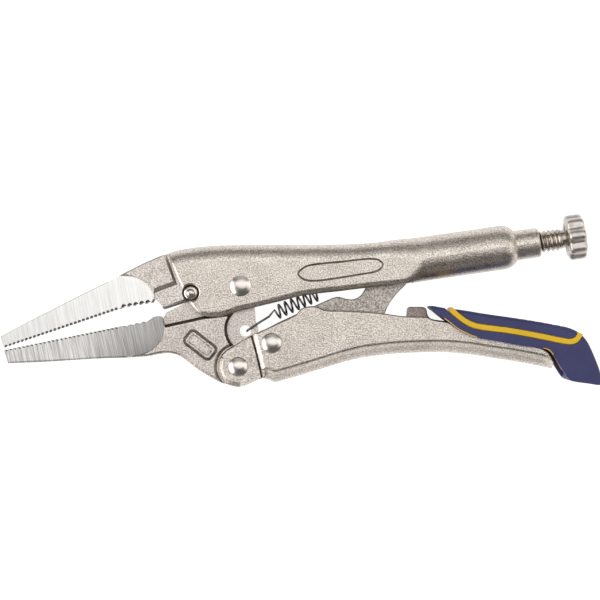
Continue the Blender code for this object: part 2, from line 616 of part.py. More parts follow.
core = slab("grip_core", CORE, -CORE_HALF, CORE_HALF)
place(core, LEVER_AXIS)
core.data.materials.append(material("grip_yellow", (0.75, 0.45, 0.02), 0.5, 0.0))
ridge = cutter("stripe_ridge", offset_line(STRIPE, 0.75)
               + list(reversed(offset_line(STRIPE, -0.75))), -7.1, 7.1)
lever_room = cutter("lever_room", [(50.0, -5.0), (56.0, -9.2), (60.0, -9.8),
                                   (70.0, -10.5), (80.0, -11.9), (83.4, -12.5),
                                   (83.4, -20.0), (50.0, -20.0)],
                    -LEVER_HALF - 0.3, LEVER_HALF + 0.3)
add(core, ridge)
cut(core, hollow, lever_room)
cut(sleeve, lever_room)
bpy.context.view_layer.update()
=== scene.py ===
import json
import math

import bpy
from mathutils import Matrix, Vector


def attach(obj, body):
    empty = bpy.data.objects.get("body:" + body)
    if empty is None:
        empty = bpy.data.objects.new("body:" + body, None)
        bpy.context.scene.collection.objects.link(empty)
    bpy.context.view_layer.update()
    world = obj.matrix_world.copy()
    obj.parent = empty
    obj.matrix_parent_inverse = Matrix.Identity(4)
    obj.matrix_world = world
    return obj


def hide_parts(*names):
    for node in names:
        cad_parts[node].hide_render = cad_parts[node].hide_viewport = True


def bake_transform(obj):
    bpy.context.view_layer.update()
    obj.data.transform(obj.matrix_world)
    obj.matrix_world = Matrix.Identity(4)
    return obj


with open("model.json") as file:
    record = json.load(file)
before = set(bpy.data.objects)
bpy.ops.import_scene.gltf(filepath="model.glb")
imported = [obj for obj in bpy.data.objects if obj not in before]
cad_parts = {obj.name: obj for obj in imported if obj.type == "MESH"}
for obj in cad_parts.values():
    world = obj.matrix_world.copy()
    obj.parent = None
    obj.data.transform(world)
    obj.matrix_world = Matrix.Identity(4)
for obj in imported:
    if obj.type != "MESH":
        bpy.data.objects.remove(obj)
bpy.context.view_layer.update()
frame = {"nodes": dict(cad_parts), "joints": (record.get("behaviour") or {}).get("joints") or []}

# Long-nose locking pliers: the looks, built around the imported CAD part.
#
# Pieces are modelled in millimetres from the main rivet's centre, with x towards the
# knob, y up the jaws' swing and z across the tool's thickness. settle() scales each to
# metres, puts it in the shared frame and hangs it on its body.

MM = 0.001
joints = {joint["name"]: joint for joint in frame["joints"]}
MAIN = Vector(joints["jaw_open"]["pos_m"])
JAW_PIVOT = (-0.7, -22.2)
LINK_PIVOT = (8.5, -15.7)
LEVER_PIVOT = (54.0, -12.2)
TOGGLE_END = (42.66, 6.4)
CROSS_PIN = (-13.7, -1.9)
SPRING_HOLE = (1.2, -12.4)
RIVET_HOLE = 2.3
MAIN_HOLE = 2.5
SCREW_TILT = math.radians(8.2)
AXIS = Vector((math.cos(SCREW_TILT), math.sin(SCREW_TILT), 0.0))
AXIS_UP = Vector((-math.sin(SCREW_TILT), math.cos(SCREW_TILT), 0.0))
SIDEWAYS = Vector((0.0, 0.0, 1.0))
SCREW_START = Vector((*TOGGLE_END, 0.0))


# --------------------------------------------------------------------- materials
class Value:
    """A shader value that takes plain arithmetic."""

    def __init__(self, finish, socket):
        self.finish = finish
        self.socket = socket

    def math(self, operation, first, second):
        node = self.finish.node("ShaderNodeMath", {"operation": operation},
                                {0: first, 1: second})
        return Value(self.finish, node.outputs[0])

    def __add__(self, other):
        return self.math("ADD", self, other)

    def __radd__(self, other):
        return self.math("ADD", other, self)

    def __sub__(self, other):
        return self.math("SUBTRACT", self, other)

    def __rsub__(self, other):
        return self.math("SUBTRACT", other, self)

    def __mul__(self, other):
        return self.math("MULTIPLY", self, other)

    def __rmul__(self, other):
        return self.math("MULTIPLY", other, self)


class Finish:
    """A material under construction, with one Principled shader."""

    def __init__(self, name, metallic, coat=0.0):
        self.material = bpy.data.materials.new(name)
        self.material.use_nodes = True
        self.tree = self.material.node_tree
        self.tree.nodes.clear()
        self.shader = self.node("ShaderNodeBsdfPrincipled", {},
                                {"Metallic": metallic, "Coat Weight": coat})
        out = self.node("ShaderNodeOutputMaterial")
        self.tree.links.new(self.shader.outputs[0], out.inputs["Surface"])
        self.place = self.node("ShaderNodeTexCoord").outputs["Object"]

    def node(self, kind, settings=None, sockets=None):
        """Any node: its settings first, then its sockets' values or links."""
        node = self.tree.nodes.new(kind)
        for key, value in (settings or {}).items():
            if key == "stops":
                ramp = node.color_ramp
                while len(ramp.elements) < len(value):
                    ramp.elements.new(0.5)
                for stop, (position, colour) in zip(ramp.elements, value):
                    stop.position = position
                    stop.color = (*colour, 1.0)
            else:
                setattr(node, key, value)
        for key, value in (sockets or {}).items():
            if isinstance(value, Value):
                value = value.socket
            if isinstance(value, bpy.types.NodeSocket):
                self.tree.links.new(value, node.inputs[key])
            else:
                node.inputs[key].default_value = value
        return node

    def stretched(self, scale, turn=0.0):
        """Object coordinates, turned about z and then stretched."""
        turned = self.node("ShaderNodeMapping", {},
                           {"Vector": self.place, "Rotation": (0.0, 0.0, turn)})
        return self.node("ShaderNodeMapping", {},
                         {"Vector": turned.outputs[0], "Scale": scale}).outputs[0]

    def noise(self, scale, detail=2.0, vector=None, rough=0.5):
        node = self.node("ShaderNodeTexNoise", {},
                         {"Vector": vector or self.place, "Scale": scale,
                          "Detail": detail, "Roughness": rough})
        return Value(self, node.outputs[0])

    def ramp(self, value, *stops):
        node = self.node("ShaderNodeValToRGB", {"stops": stops}, {0: value})
        return node.outputs[0]

    def mask(self, value, low, high):
        """0 below low, 1 above high."""
        node = self.node("ShaderNodeMapRange", {"interpolation_type": "SMOOTHSTEP"},
                         {"Value": value, "From Min": low, "From Max": high})
        return Value(self, node.outputs[0])

    def mix(self, factor, first, second):
        """Mix two colours."""
        node = self.node("ShaderNodeMix", {"data_type": "RGBA"},
                         {0: factor, 6: first if not isinstance(first, tuple)
                          else (*first, 1.0),
                          7: second if not isinstance(second, tuple)
                          else (*second, 1.0)})
        return node.outputs[2]

    def wear(self, colour, roughness, height=None, depth=0.00003, strength=0.5):
        """Drive the shader with what changes over the surface."""
        self.tree.links.new(colour, self.shader.inputs["Base Color"])
        self.tree.links.new(roughness.socket, self.shader.inputs["Roughness"])
        if height is not None:
            bump = self.node("ShaderNodeBump", {},
                             {"Height": height, "Distance": depth,
                              "Strength": strength})
            self.tree.links.new(bump.outputs[0], self.shader.inputs["Normal"])
        return self.material


def satin_nickel(name, dark, light, rough=0.34, grain=1.0):
    """Blasted and nickel-plated steel: a fine pebble with soft clouds."""
    made = Finish(name, 1.0)
    pebble = made.noise(2700.0, 3.0)
    cloud = made.noise(160.0, 3.0)
    sparkle = made.mask(made.noise(3300.0, 1.0), 0.58, 0.72)
    tone = pebble * 0.85 + cloud * 0.15
    colour = made.ramp(tone, (0.39, dark), (0.61, light))
    bright = made.mix(sparkle * 0.4 * grain, colour, (0.95, 0.92, 0.88))
    roughness = rough - 0.08 + pebble * 0.16
    return made.wear(bright, roughness, pebble, 0.00014 * grain, 0.7)


def ground_steel(name, dark, light, turn, rough=0.26, lines=1.0, heel=0.0):
    """Bare steel off the grinding wheel: fine parallel scratches; heel paints shade towards the
    rear and the bottom.
    """
    made = Finish(name, 1.0)
    along = made.stretched((3300.0, 75.0, 75.0), turn)
    scratch = made.noise(1.0, 4.0, along, 0.7)
    broad = made.noise(1.0, 2.0, made.stretched((620.0, 26.0, 26.0), turn))
    tone = scratch * 0.87 + broad * 0.13
    colour = made.ramp(tone, (0.36, dark), (0.62, light))
    # Painted shade: the colour darkens towards the nose's rear, more so low down.
    if heel:
        spot = made.node("ShaderNodeSeparateXYZ", {}, {0: made.place})
        back = made.mask(Value(made, spot.outputs[0]), -0.066, -0.036)
        low = made.mask(Value(made, spot.outputs[1]) * -1.0, 0.008, 0.018)
        shade = back * (0.55 + low * 0.45) * heel
        colour = made.mix(shade, colour, tuple(c * 0.5 for c in dark))
    roughness = rough + scratch * 0.12
    return made.wear(colour, roughness, tone, 0.00006 * lines, 0.6)


def polished_nickel(name, dark, light, rough=0.1):
    """Bright plated heads, with faint handling marks."""
    made = Finish(name, 1.0)
    smudge = made.noise(700.0, 3.0)
    fine = made.noise(5200.0, 2.0)
    colour = made.ramp(smudge, (0.3, dark), (0.7, light))
    roughness = rough + smudge * 0.1
    return made.wear(colour, roughness, fine, 0.000012, 0.35)


def soft_rubber(name, dark, light, rough=0.52):
    """Moulded grip rubber with an even matt texture."""
    made = Finish(name, 0.0)
    pore = made.noise(3200.0, 2.0)
    cloud = made.noise(120.0, 2.0)
    colour = made.ramp(cloud * 0.5 + pore * 0.5, (0.35, dark), (0.65, light))
    roughness = rough + pore * 0.14
    made.shader.inputs["Specular IOR Level"].default_value = 0.42
    return made.wear(colour, roughness, pore, 0.00004, 0.5)


HANDLE_NICKEL = satin_nickel("handle_nickel", (0.37, 0.325, 0.285), (0.80, 0.74, 0.675))
LOWER_NICKEL = satin_nickel("lower_handle_nickel", (0.38, 0.335, 0.295),
                            (0.80, 0.735, 0.67))
JAW_NICKEL = satin_nickel("jaw_nickel", (0.38, 0.34, 0.305), (0.77, 0.72, 0.67))
LOWER_JAW_NICKEL = satin_nickel("lower_jaw_nickel", (0.37, 0.33, 0.295),
                                (0.755, 0.705, 0.655))
# Painted shade: the link sits down in the handle's channel, so its nickel is a darker copy.
LINK_NICKEL_SHADED = satin_nickel("link_nickel", (0.22, 0.195, 0.17), (0.62, 0.57, 0.52),
                           0.42, 1.3)
LEVER_NICKEL = satin_nickel("lever_steel", (0.17, 0.14, 0.12), (0.32, 0.28, 0.25), 0.4)
UPPER_GROUND = ground_steel("upper_ground", (0.69, 0.68, 0.66), (0.89, 0.88, 0.86),
                            math.radians(-10), 0.26, 0.7)
# Painted shade: the lower nose's ground steel is a darker copy of the upper's, with more painted
# shade towards its heel.
LOWER_GROUND_SHADED = ground_steel("lower_ground", (0.34, 0.325, 0.31), (0.84, 0.83, 0.81),
                            math.radians(-12), 0.3, 1.8, 1.0)
HEAD_NICKEL = polished_nickel("rivet_head_nickel", (0.60, 0.56, 0.52),
                              (0.74, 0.695, 0.65), 0.23)
PIN_NICKEL = polished_nickel("pin_nickel", (0.5, 0.46, 0.42), (0.7, 0.66, 0.6), 0.2)
THREAD_STEEL = polished_nickel("thread_steel", (0.36, 0.31, 0.26), (0.58, 0.52, 0.46),
                               0.2)
KNOB_NICKEL = polished_nickel("knob_nickel", (0.46, 0.42, 0.385), (0.64, 0.6, 0.56), 0.32)
# Painted shade: a near-black steel laid on the tooth grooves, the cross pin's seat, the lower
# jaw's shoulder and ear lines and the lower handle's joggle foot, where shade falls in the
# recesses.
PAINTED_SHADE_STEEL = polished_nickel("groove_steel", (0.055, 0.045, 0.037),
                               (0.13, 0.11, 0.09), 0.5)
# Painted shade: a dark brown steel laid in the stamped vee lines of the handle's plaque and the
# lower jaw's frame, for the shade in those grooves.
STAMPED_LINE_SHADE = polished_nickel("stamped_line_steel", (0.19, 0.16, 0.135),
                             (0.36, 0.32, 0.28), 0.45)
SPRING_WIRE = polished_nickel("spring_wire", (0.10, 0.095, 0.09), (0.2, 0.19, 0.18), 0.25)
BLUE_RUBBER = soft_rubber("blue_rubber", (0.033, 0.036, 0.118), (0.048, 0.052, 0.155))
PAD_RUBBER = soft_rubber("blue_pad_rubber", (0.033, 0.036, 0.118), (0.047, 0.05, 0.15))
YELLOW_PLASTIC = soft_rubber("yellow_plastic", (0.72, 0.44, 0.008), (0.82, 0.53, 0.014),
                             0.42)


# ---------------------------------------------------------------------- shaping
def clear_selection():
    if bpy.context.mode != "OBJECT":
        bpy.ops.object.mode_set(mode="OBJECT")
    bpy.ops.object.select_all(action="DESELECT")


def choose(piece):
    clear_selection()
    piece.select_set(True)
    bpy.context.view_layer.objects.active = piece


def edit(piece, kind="EDGE"):
    choose(piece)
    bpy.ops.object.mode_set(mode="EDIT")
    bpy.ops.mesh.select_mode(type=kind)


def flow(points, step=0.7, closed=True):
    """A smooth line through points; a third number marks a sharp corner."""
    at = [Vector(p[:2]) for p in points]
    sharp = [len(p) > 2 for p in points]
    count = len(at)
    out = []
    for i in range(count if closed else count - 1):
        a = at[i]
        b = at[(i + 1) % count]
        span = (b - a).length
        if span < 1e-6:
            continue
        before = at[i - 1]
        after = at[(i + 2) % count]
        first = sharp[i] or (not closed and i == 0)
        last = sharp[(i + 1) % count] or (not closed and i == count - 2)
        start = (b - a) if first else (b - before) * (span / ((b - a).length
                                                              + (a - before).length))
        end = (b - a) if last else (after - a) * (span / ((after - b).length
                                                          + (b - a).length))
        steps = max(1, math.ceil(span / step))
        for k in range(steps):
            t = k / steps
            t2 = t * t
            t3 = t2 * t
            p = (a * (2 * t3 - 3 * t2 + 1) + start * (t3 - 2 * t2 + t)
                 + b * (3 * t2 - 2 * t3) + end * (t3 - t2))
            out.append((p.x, p.y))
    if not closed:
        out.append(tuple(at[-1]))
    return out


def ring_of(centre, radius, start=0.0, end=360.0, count=32):
    """Points on an arc, angles in degrees; a full turn isn't closed twice."""
    steps = count if abs(end - start) >= 360.0 else count + 1
    return [(centre[0] + radius * math.cos(math.radians(start + (end - start) * i / count)),
             centre[1] + radius * math.sin(math.radians(start + (end - start) * i / count)))
            for i in range(steps)]


def reach(points, x):
    """The height of an open line at x, straight between its points."""
    line = sorted(points)
    if x <= line[0][0]:
        return line[0][1]
    for a, b in zip(line, line[1:]):
        if x <= b[0]:
            return a[1] + (b[1] - a[1]) * (x - a[0]) / max(b[0] - a[0], 1e-9)
    return line[-1][1]


def plate(name, line, low, high):
    """A filled outline, pulled up to a flat plate."""
    clear_selection()
    bpy.ops.mesh.primitive_circle_add(vertices=len(line), radius=1.0, fill_type="NGON")
    piece = bpy.context.object
    piece.name = name
    for vertex, (x, y) in zip(piece.data.vertices, line):
        vertex.co = (x, y, low)
    edit(piece, "FACE")
    bpy.ops.mesh.select_all(action="SELECT")
    bpy.ops.mesh.extrude_region_move(
        TRANSFORM_OT_translate={"value": (0.0, 0.0, high - low)})
    bpy.ops.mesh.select_all(action="SELECT")
    bpy.ops.mesh.normals_make_consistent(inside=False)
    bpy.ops.object.mode_set(mode="OBJECT")
    return piece


def soften(piece, width, test, segments=3):
    """Bevel the edges whose middle passes test(x, y, z)."""
    choose(piece)
    mesh = piece.data
    for thing in (*mesh.vertices, *mesh.edges, *mesh.polygons):
        thing.select = False
    found = False
    for edge in mesh.edges:
        a, b = (mesh.vertices[i].co for i in edge.vertices)
        middle = (a + b) / 2
        if abs(a.z - b.z) < 0.02 and test(middle.x, middle.y, middle.z):
            edge.select = True
            found = True
    if not found:
        raise ValueError("no edge to soften on " + piece.name)
    bpy.ops.object.mode_set(mode="EDIT")
    bpy.ops.mesh.select_mode(type="EDGE")
    bpy.ops.mesh.bevel(offset=width, offset_type="OFFSET", segments=segments,
                       profile=0.5, affect="EDGES", clamp_overlap=False)
    bpy.ops.object.mode_set(mode="OBJECT")
    return piece


def lofted(name, rings):
    """A skin through rings of points, closed round and at both ends."""
    around = len(rings[0])
    along = len(rings) - 1
    clear_selection()
    bpy.ops.mesh.primitive_grid_add(x_subdivisions=around, y_subdivisions=along, size=2.0)
    piece = bpy.context.object
    piece.name = name
    for vertex in piece.data.vertices:
        i = round((vertex.co.x + 1.0) / 2.0 * around) % around
        j = round((vertex.co.y + 1.0) / 2.0 * along)
        vertex.co = rings[j][i]
    edit(piece, "VERT")
    bpy.ops.mesh.select_all(action="SELECT")
    bpy.ops.mesh.remove_doubles(threshold=1e-4)
    bpy.ops.mesh.select_all(action="SELECT")
    bpy.ops.mesh.fill_holes(sides=0)
    bpy.ops.mesh.select_all(action="SELECT")
    bpy.ops.mesh.normals_make_consistent(inside=False)
    bpy.ops.object.mode_set(mode="OBJECT")
    return piece


def turned_ring(middle, radius_at, count, direction=AXIS, up=AXIS_UP):
    """Points round an axis; radius_at gives the radius at each one."""
    side = direction.cross(up).normalized()
    return [middle + up * (radius_at(i) * math.cos(2 * math.pi * i / count))
            + side * (radius_at(i) * math.sin(2 * math.pi * i / count))
            for i in range(count)]


def spun(name, profile, centre, direction=SIDEWAYS, up=AXIS_UP, count=40):
    """A turned piece: (radius, distance) pairs about an axis."""
    return lofted(name, [turned_ring(centre + direction * distance,
                                     lambda i, r=max(radius, 1e-3): r, count,
                                     direction, up)
                         for radius, distance in profile])


def moved_out(line, distance):
    """A closed outline pushed out (or in) evenly."""
    area = sum(a[0] * b[1] - b[0] * a[1] for a, b in zip(line, line[1:] + line[:1]))
    sign = 1.0 if area > 0 else -1.0
    out = []
    for i, p in enumerate(line):
        before = Vector(line[i - 1])
        after = Vector(line[(i + 1) % len(line)])
        run = (after - before).normalized() * (distance * sign)
        out.append((p[0] + run.y, p[1] - run.x))
    return out


def flared(name, line, stops):
    """A cutter whose outline is pushed out by (height, distance) stops."""
    rings = []
    for height, distance in stops:
        shape = moved_out(line, distance) if distance else line
        rings.append([Vector((x, y, height)) for x, y in shape])
    return lofted(name, rings)


def vee_ring(line, face, depth, sign):
    """A cutter for a vee groove that follows a closed outline on a flat side."""
    low = face - depth
    high = face + 0.3
    outer = flared("vee", line, [(sign * low, 0.01), (sign * high, depth + 0.31)])
    inner = flared("land", line, [(sign * (low - 0.05), 0.0), (sign * low, -0.01),
                                  (sign * (high + 0.1), -depth - 0.41)])
    return carve(outer, inner)


def carve(piece, *tools, how="DIFFERENCE"):
    """Cut, join or keep the common part, tool by tool."""
    for tool in tools:
        choose(piece)
        step = piece.modifiers.new("shape", "BOOLEAN")
        step.operation = how
        step.solver = "EXACT"
        step.object = tool
        bpy.ops.object.modifier_apply(modifier=step.name)
        bpy.data.objects.remove(tool)
    return piece


def join_on(piece, *tools):
    return carve(piece, *tools, how="UNION")


def beside(line, distance):
    """An open line moved sideways, to its left when distance is positive."""
    out = []
    for i, p in enumerate(line):
        run = (Vector(line[min(i + 1, len(line) - 1)])
               - Vector(line[max(i - 1, 0)])).normalized()
        out.append((p[0] - run.y * distance, p[1] + run.x * distance))
    return out


def rounding(line, radius, face, sign, rise=None):
    """A cutter that rounds an edge; the solid lies to the right of the line."""
    arc = [(radius - radius * math.cos(math.radians(a)),
            face - radius + radius * math.sin(math.radians(a)))
           for a in (0, 15, 30, 45, 60, 75, 90)]
    rings = []
    for i, p in enumerate(line):
        lift = rise(p[0]) if rise else 0.0
        run = (Vector(line[min(i + 1, len(line) - 1)])
               - Vector(line[max(i - 1, 0)])).normalized()
        rings.append([Vector((p[0] + run.y * d, p[1] - run.x * d, sign * (z + lift)))
                      for d, z in [(-0.4, face + 0.5), (-0.4, face - radius)] + arc
                      + [(radius, face + 0.5)]])
    return lofted("rounding", rings)


def hole(centre, radius, low=-9.0, high=9.0, count=36):
    return plate("hole", ring_of(centre, radius, count=count), low, high)


def settle(piece, name, body, nodes, finish, angle=32.0):
    """Scale to metres, put in the frame, smooth, finish and hang on its body."""
    choose(piece)
    piece.name = name
    piece.data.name = name
    piece.scale = (MM, MM, MM)
    piece.location = MAIN
    bpy.ops.object.transform_apply(location=True, rotation=True, scale=True)
    bpy.ops.object.shade_smooth_by_angle(angle=math.radians(angle))
    even = piece.modifiers.new("even_shading", "WEIGHTED_NORMAL")
    even.keep_sharp = True
    even.weight = 60
    bpy.ops.object.modifier_apply(modifier=even.name)
    if finish is not None:
        piece.data.materials.clear()
        piece.data.materials.append(finish)
    if body:
        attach(piece, body)
    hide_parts(*nodes)
    return piece


def paint(piece, finish, test):
    """A second finish on the faces whose middle passes test(x, y, z) in millimetres."""
    piece.data.materials.append(finish)
    index = len(piece.data.materials) - 1
    for face in piece.data.polygons:
        if test(*((face.center - MAIN) / MM)):
            face.material_index = index


def gap_to(line, x, y):
    """How far a point lies from an open line."""
    best = 1e9
    for a, b in zip(line, line[1:]):
        run = Vector(b[:2]) - Vector(a[:2])
        to = Vector((x, y)) - Vector(a[:2])
        t = min(max(to.dot(run) / max(run.length_squared, 1e-12), 0.0), 1.0)
        best = min(best, (to - run * t).length)
    return best


def section(x, top, bottom, half, top_round, bottom_round, lean=0.0, steps=8):
    """A rounded upright section of a channel at x; lean tips its top back."""
    middle = 0.5 * (top + bottom)
    up = Vector((-math.sin(lean), math.cos(lean), 0.0))
    at = Vector((x, middle, 0.0))
    tall = 0.5 * (top - bottom)
    corners = [(half, tall, top_round, 0.0), (-half, tall, top_round, 90.0),
               (-half, -tall, bottom_round, 180.0), (half, -tall, bottom_round, 270.0)]
    out = []
    for z, h, r, start in corners:
        cz = z - math.copysign(r, z)
        ch = h - math.copysign(r, h)
        for k in range(steps + 1):
            a = math.radians(start + 90.0 * k / steps)
            out.append(at + SIDEWAYS * (cz + r * math.cos(a)) + up * (ch + r * math.sin(a)))
    return out


# The lower handle's underside: half width, height above the spine
BELLY = [(5.1, 3.7), (5.06, 3.4), (4.94, 3.12), (4.7, 2.86), (4.4, 2.62), (3.75, 2.05),
         (3.55, 1.86), (2.7, 0.98), (2.1, 0.42), (1.6, 0.14), (0.9, 0.02)]


def belly_section(x, top, bottom, half, top_round, squeeze):
    """An upright section whose lower corners are drawn in to a narrow spine."""
    ring = section(x, top, bottom, half, top_round, 0.1)
    upper = ring[:len(ring) // 2]
    left = [Vector((x, bottom + h * squeeze, -z)) for z, h in BELLY]
    right = [Vector((x, bottom + h * squeeze, z)) for z, h in reversed(BELLY)]
    return upper + left + right


def ease(x, low, high):
    t = min(max((x - low) / (high - low), 0.0), 1.0)
    return t * t * (3.0 - 2.0 * t)


def along_axis(distance):
    return SCREW_START + AXIS * distance


# ------------------------------------------------------------------ upper handle
HANDLE_TOP = flow([(56.0, 14.5), (52.4, 13.9), (44.0, 13.0), (35.7, 11.9), (27.4, 11.5),
                   (16.3, 11.4), (-3.0, 11.3), (-11.4, 10.8), (-16.9, 10.0),
                   (-19.6, 9.3), (-23.0, 8.2)], closed=False)
HANDLE_UNDER = flow([(-12.0, -8.4), (-10.0, -8.5), (-7.5, -8.6), (-4.7, -8.2),
                     (-0.6, -6.9), (3.0, -6.1), (10.8, -4.2), (16.3, -2.8), (21.9, -2.0),
                     (27.4, -1.4), (33.0, -0.7), (38.5, -0.1), (46.8, 0.8), (50.0, 1.4),
                     (56.0, 2.3)], closed=False)
HANDLE_HALF = 6.1
# Where the tube closes down to the collar: distance along the axis, radius
SHOULDER = [(29.4, 6.1), (30.6, 6.02), (31.5, 5.8), (32.3, 5.4), (32.9, 4.95),
            (33.3, 4.5), (33.45, 4.2), (33.7, 4.12), (34.2, 4.1), (39.6, 4.1),
            (39.95, 4.02), (40.2, 3.75)]


def upper_handle():
    rings = []
    x = -22.0
    while x < 50.2:
        blend = ease(x, 43.5, 50.5)
        centre = TOGGLE_END[1] + (x - TOGGLE_END[0]) * math.tan(SCREW_TILT)
        top = reach(HANDLE_TOP, x) * (1 - blend) + (centre + 6.1) * blend
        bottom = reach(HANDLE_UNDER, x) * (1 - blend) + (centre - 6.1) * blend
        half_tall = 0.5 * (top - bottom)
        roof = min(4.6 + 1.45 * ease(x, 36.0, 50.5), half_tall - 0.02)
        sill = min(1.7 + 4.35 * ease(x, 45.0, 50.5), half_tall - 0.02)
        rings.append(section(x, top, bottom, HANDLE_HALF, roof, sill,
                             SCREW_TILT * blend))
        x += 0.9
    count = len(rings[0])
    for distance, radius in [(8.4, 6.1), (12.0, 6.1), (18.0, 6.1), (24.0, 6.1)] + SHOULDER:
        middle = along_axis(distance)
        ring = section(0.0, radius, -radius, radius, radius - 0.02, radius - 0.02,
                       SCREW_TILT)
        rings.append([p + middle for p in ring])
    assert all(len(ring) == count for ring in rings)
    handle = lofted("handle", rings)
    front = flow([(-30.0, 14.0, 0), (-20.2, 11.5), (-19.4, 8.3), (-18.4, 5.0),
                  (-16.6, 0.8), (-13.7, -4.7), (-11.9, -7.0), (-9.6, -8.3),
                  (-7.5, -8.8), (-7.0, -12.0, 0), (-30.0, -12.0, 0)], 0.5)
    rim = [(-8.0, 1.5), (-6.15, 0.72), (-6.07, 0.55), (-5.72, 0.07), (-5.5, 0.0),
           (5.5, 0.0), (5.72, 0.07), (6.07, 0.55), (6.15, 0.72), (8.0, 1.5)]
    carve(handle, flared("front", front, rim))
    channel = plate("channel", [(48.0, 11.6), (44.0, 11.2), (35.7, 10.2), (27.4, 9.8),
                                (-3.0, 9.8), (-11.4, 9.2), (-14.1, 8.9), (-24.0, 6.9),
                                (-24.0, -14.0), (46.0, -14.0), (47.4, 1.0),
                                (48.0, 3.0)], -4.5, 4.5)
    soften(channel, 2.6, lambda px, py, pz: py > 6.8 and px < 47.9, 4)
    carve(handle, channel,
          spun("bore", [(4.6, 2.0), (4.6, 32.0)], SCREW_START, AXIS),
          spun("collar_bore", [(3.3, 30.0), (3.3, 44.0)], SCREW_START, AXIS),
          hole((0.0, 0.0), MAIN_HOLE))
    seam = plate("seam", [(51.0, -6.0), (74.0, -6.0), (74.0, 5.2), (51.0, 4.0)],
                 -0.3, 0.3)
    carve(handle, seam)
    for sign in (1, -1):
        stops = [(3.9, 0.0), (5.7, 0.0), (5.95, 0.12), (6.12, 0.4), (7.5, 1.0)]
        notch = flared("notch", ring_of(CROSS_PIN, 2.35, count=40),
                       [(sign * z, d) for z, d in stops])
        carve(handle, notch)
    plaque = flow([(15.8, 3.4), (17.7, 5.2), (20.4, 5.9), (27.4, 6.6), (34.6, 7.4),
                   (37.6, 7.2), (39.0, 5.9), (37.6, 4.2), (33.0, 3.2), (24.7, 1.9),
                   (20.2, 1.4), (17.3, 1.8)], 0.5)
    for sign in (1, -1):
        carve(handle, vee_ring(plaque, HANDLE_HALF, 0.26, sign),
              vee_ring(moved_out(plaque, -0.95), HANDLE_HALF, 0.13, sign))
    plaque.append(plaque[0])
    tab = plate("tab", [(29.0, 10.4), (29.4, 6.4), (30.6, 6.4), (31.0, 10.4)], -1.4, 1.4)
    join_on(handle, tab)
    settle(handle, "upper_handle_shell", "upper_body", ["upper_handle"], HANDLE_NICKEL,
           30.0)
    # Painted shade in the plaque's outer vee line.
    paint(handle, STAMPED_LINE_SHADE,
          lambda x, y, z: 14.0 < x < 41.0 and 5.8 < abs(z) < 6.09
          and gap_to(plaque, x, y) < 0.35)


# -------------------------------------------------------------------------- jaws
def teeth(start, end, pitch, depth):
    """Zigzag from start to end; each tooth cuts in to the left of the run."""
    a = Vector(start)
    run = Vector(end) - a
    side = Vector((-run.y, run.x)).normalized() * depth
    count = max(1, round(run.length / pitch))
    out = []
    for i in range(count):
        out.append(tuple(a + run * (i / count)))
        out.append(tuple(a + run * ((i + 0.42) / count) + side))
        out.append(tuple(a + run * ((i + 0.58) / count) + side))
    out.append(tuple(a + run))
    return out


# The ground noses: half thickness at the tip, and its rise per millimetre
NOSE_TIP = -66.4
UPPER_FLAT = (1.6, 0.074)
LOWER_FLAT = (1.4, 0.052)
FINE_PITCH = 1.2
COARSE_PITCH = 1.8


def flat_height(flat, x):
    """Half the nose's thickness at x: the tip's, plus a taper."""
    return flat[0] + flat[1] * (x - NOSE_TIP)


def ground_cutter(arc, flat, sign):
    """Takes the nose down to its tapered ground face, up to the arc."""
    def height(x):
        return flat_height(flat, x)

    rings = []
    for rise, out in [(0.0, 0.0), (0.25, 0.03), (0.7, 0.22), (1.3, 0.5), (9.0, 1.2)]:
        shape = moved_out(arc, out) if out else arc
        rings.append([Vector((x, y, sign * (height(x) + rise))) for x, y in shape])
    return lofted("ground", rings)


def tooth_cups(line, pitch, flat, size):
    """Small cups at the ends of the grooves between the teeth, on both sides."""
    start = Vector(line[0])
    run = Vector(line[1]) - start
    count = max(1, round(run.length / pitch))
    cups = []
    for i in range(count):
        at = start + run * ((i + 0.5) / count)
        top = flat_height(flat, at.x)
        for sign in (1, -1):
            cups.append(flared("cup", ring_of(at, size * 0.62, count=12),
                               [(sign * (top - size * 1.1), -size * 0.3),
                                (sign * (top - size * 0.5), 0.0),
                                (sign * (top + 0.1), size * 0.42),
                                (sign * (top + 0.3), size * 0.42)]))
    clear_selection()
    for cup in cups:
        cup.select_set(True)
    bpy.context.view_layer.objects.active = cups[0]
    bpy.ops.object.join()
    return cups[0]


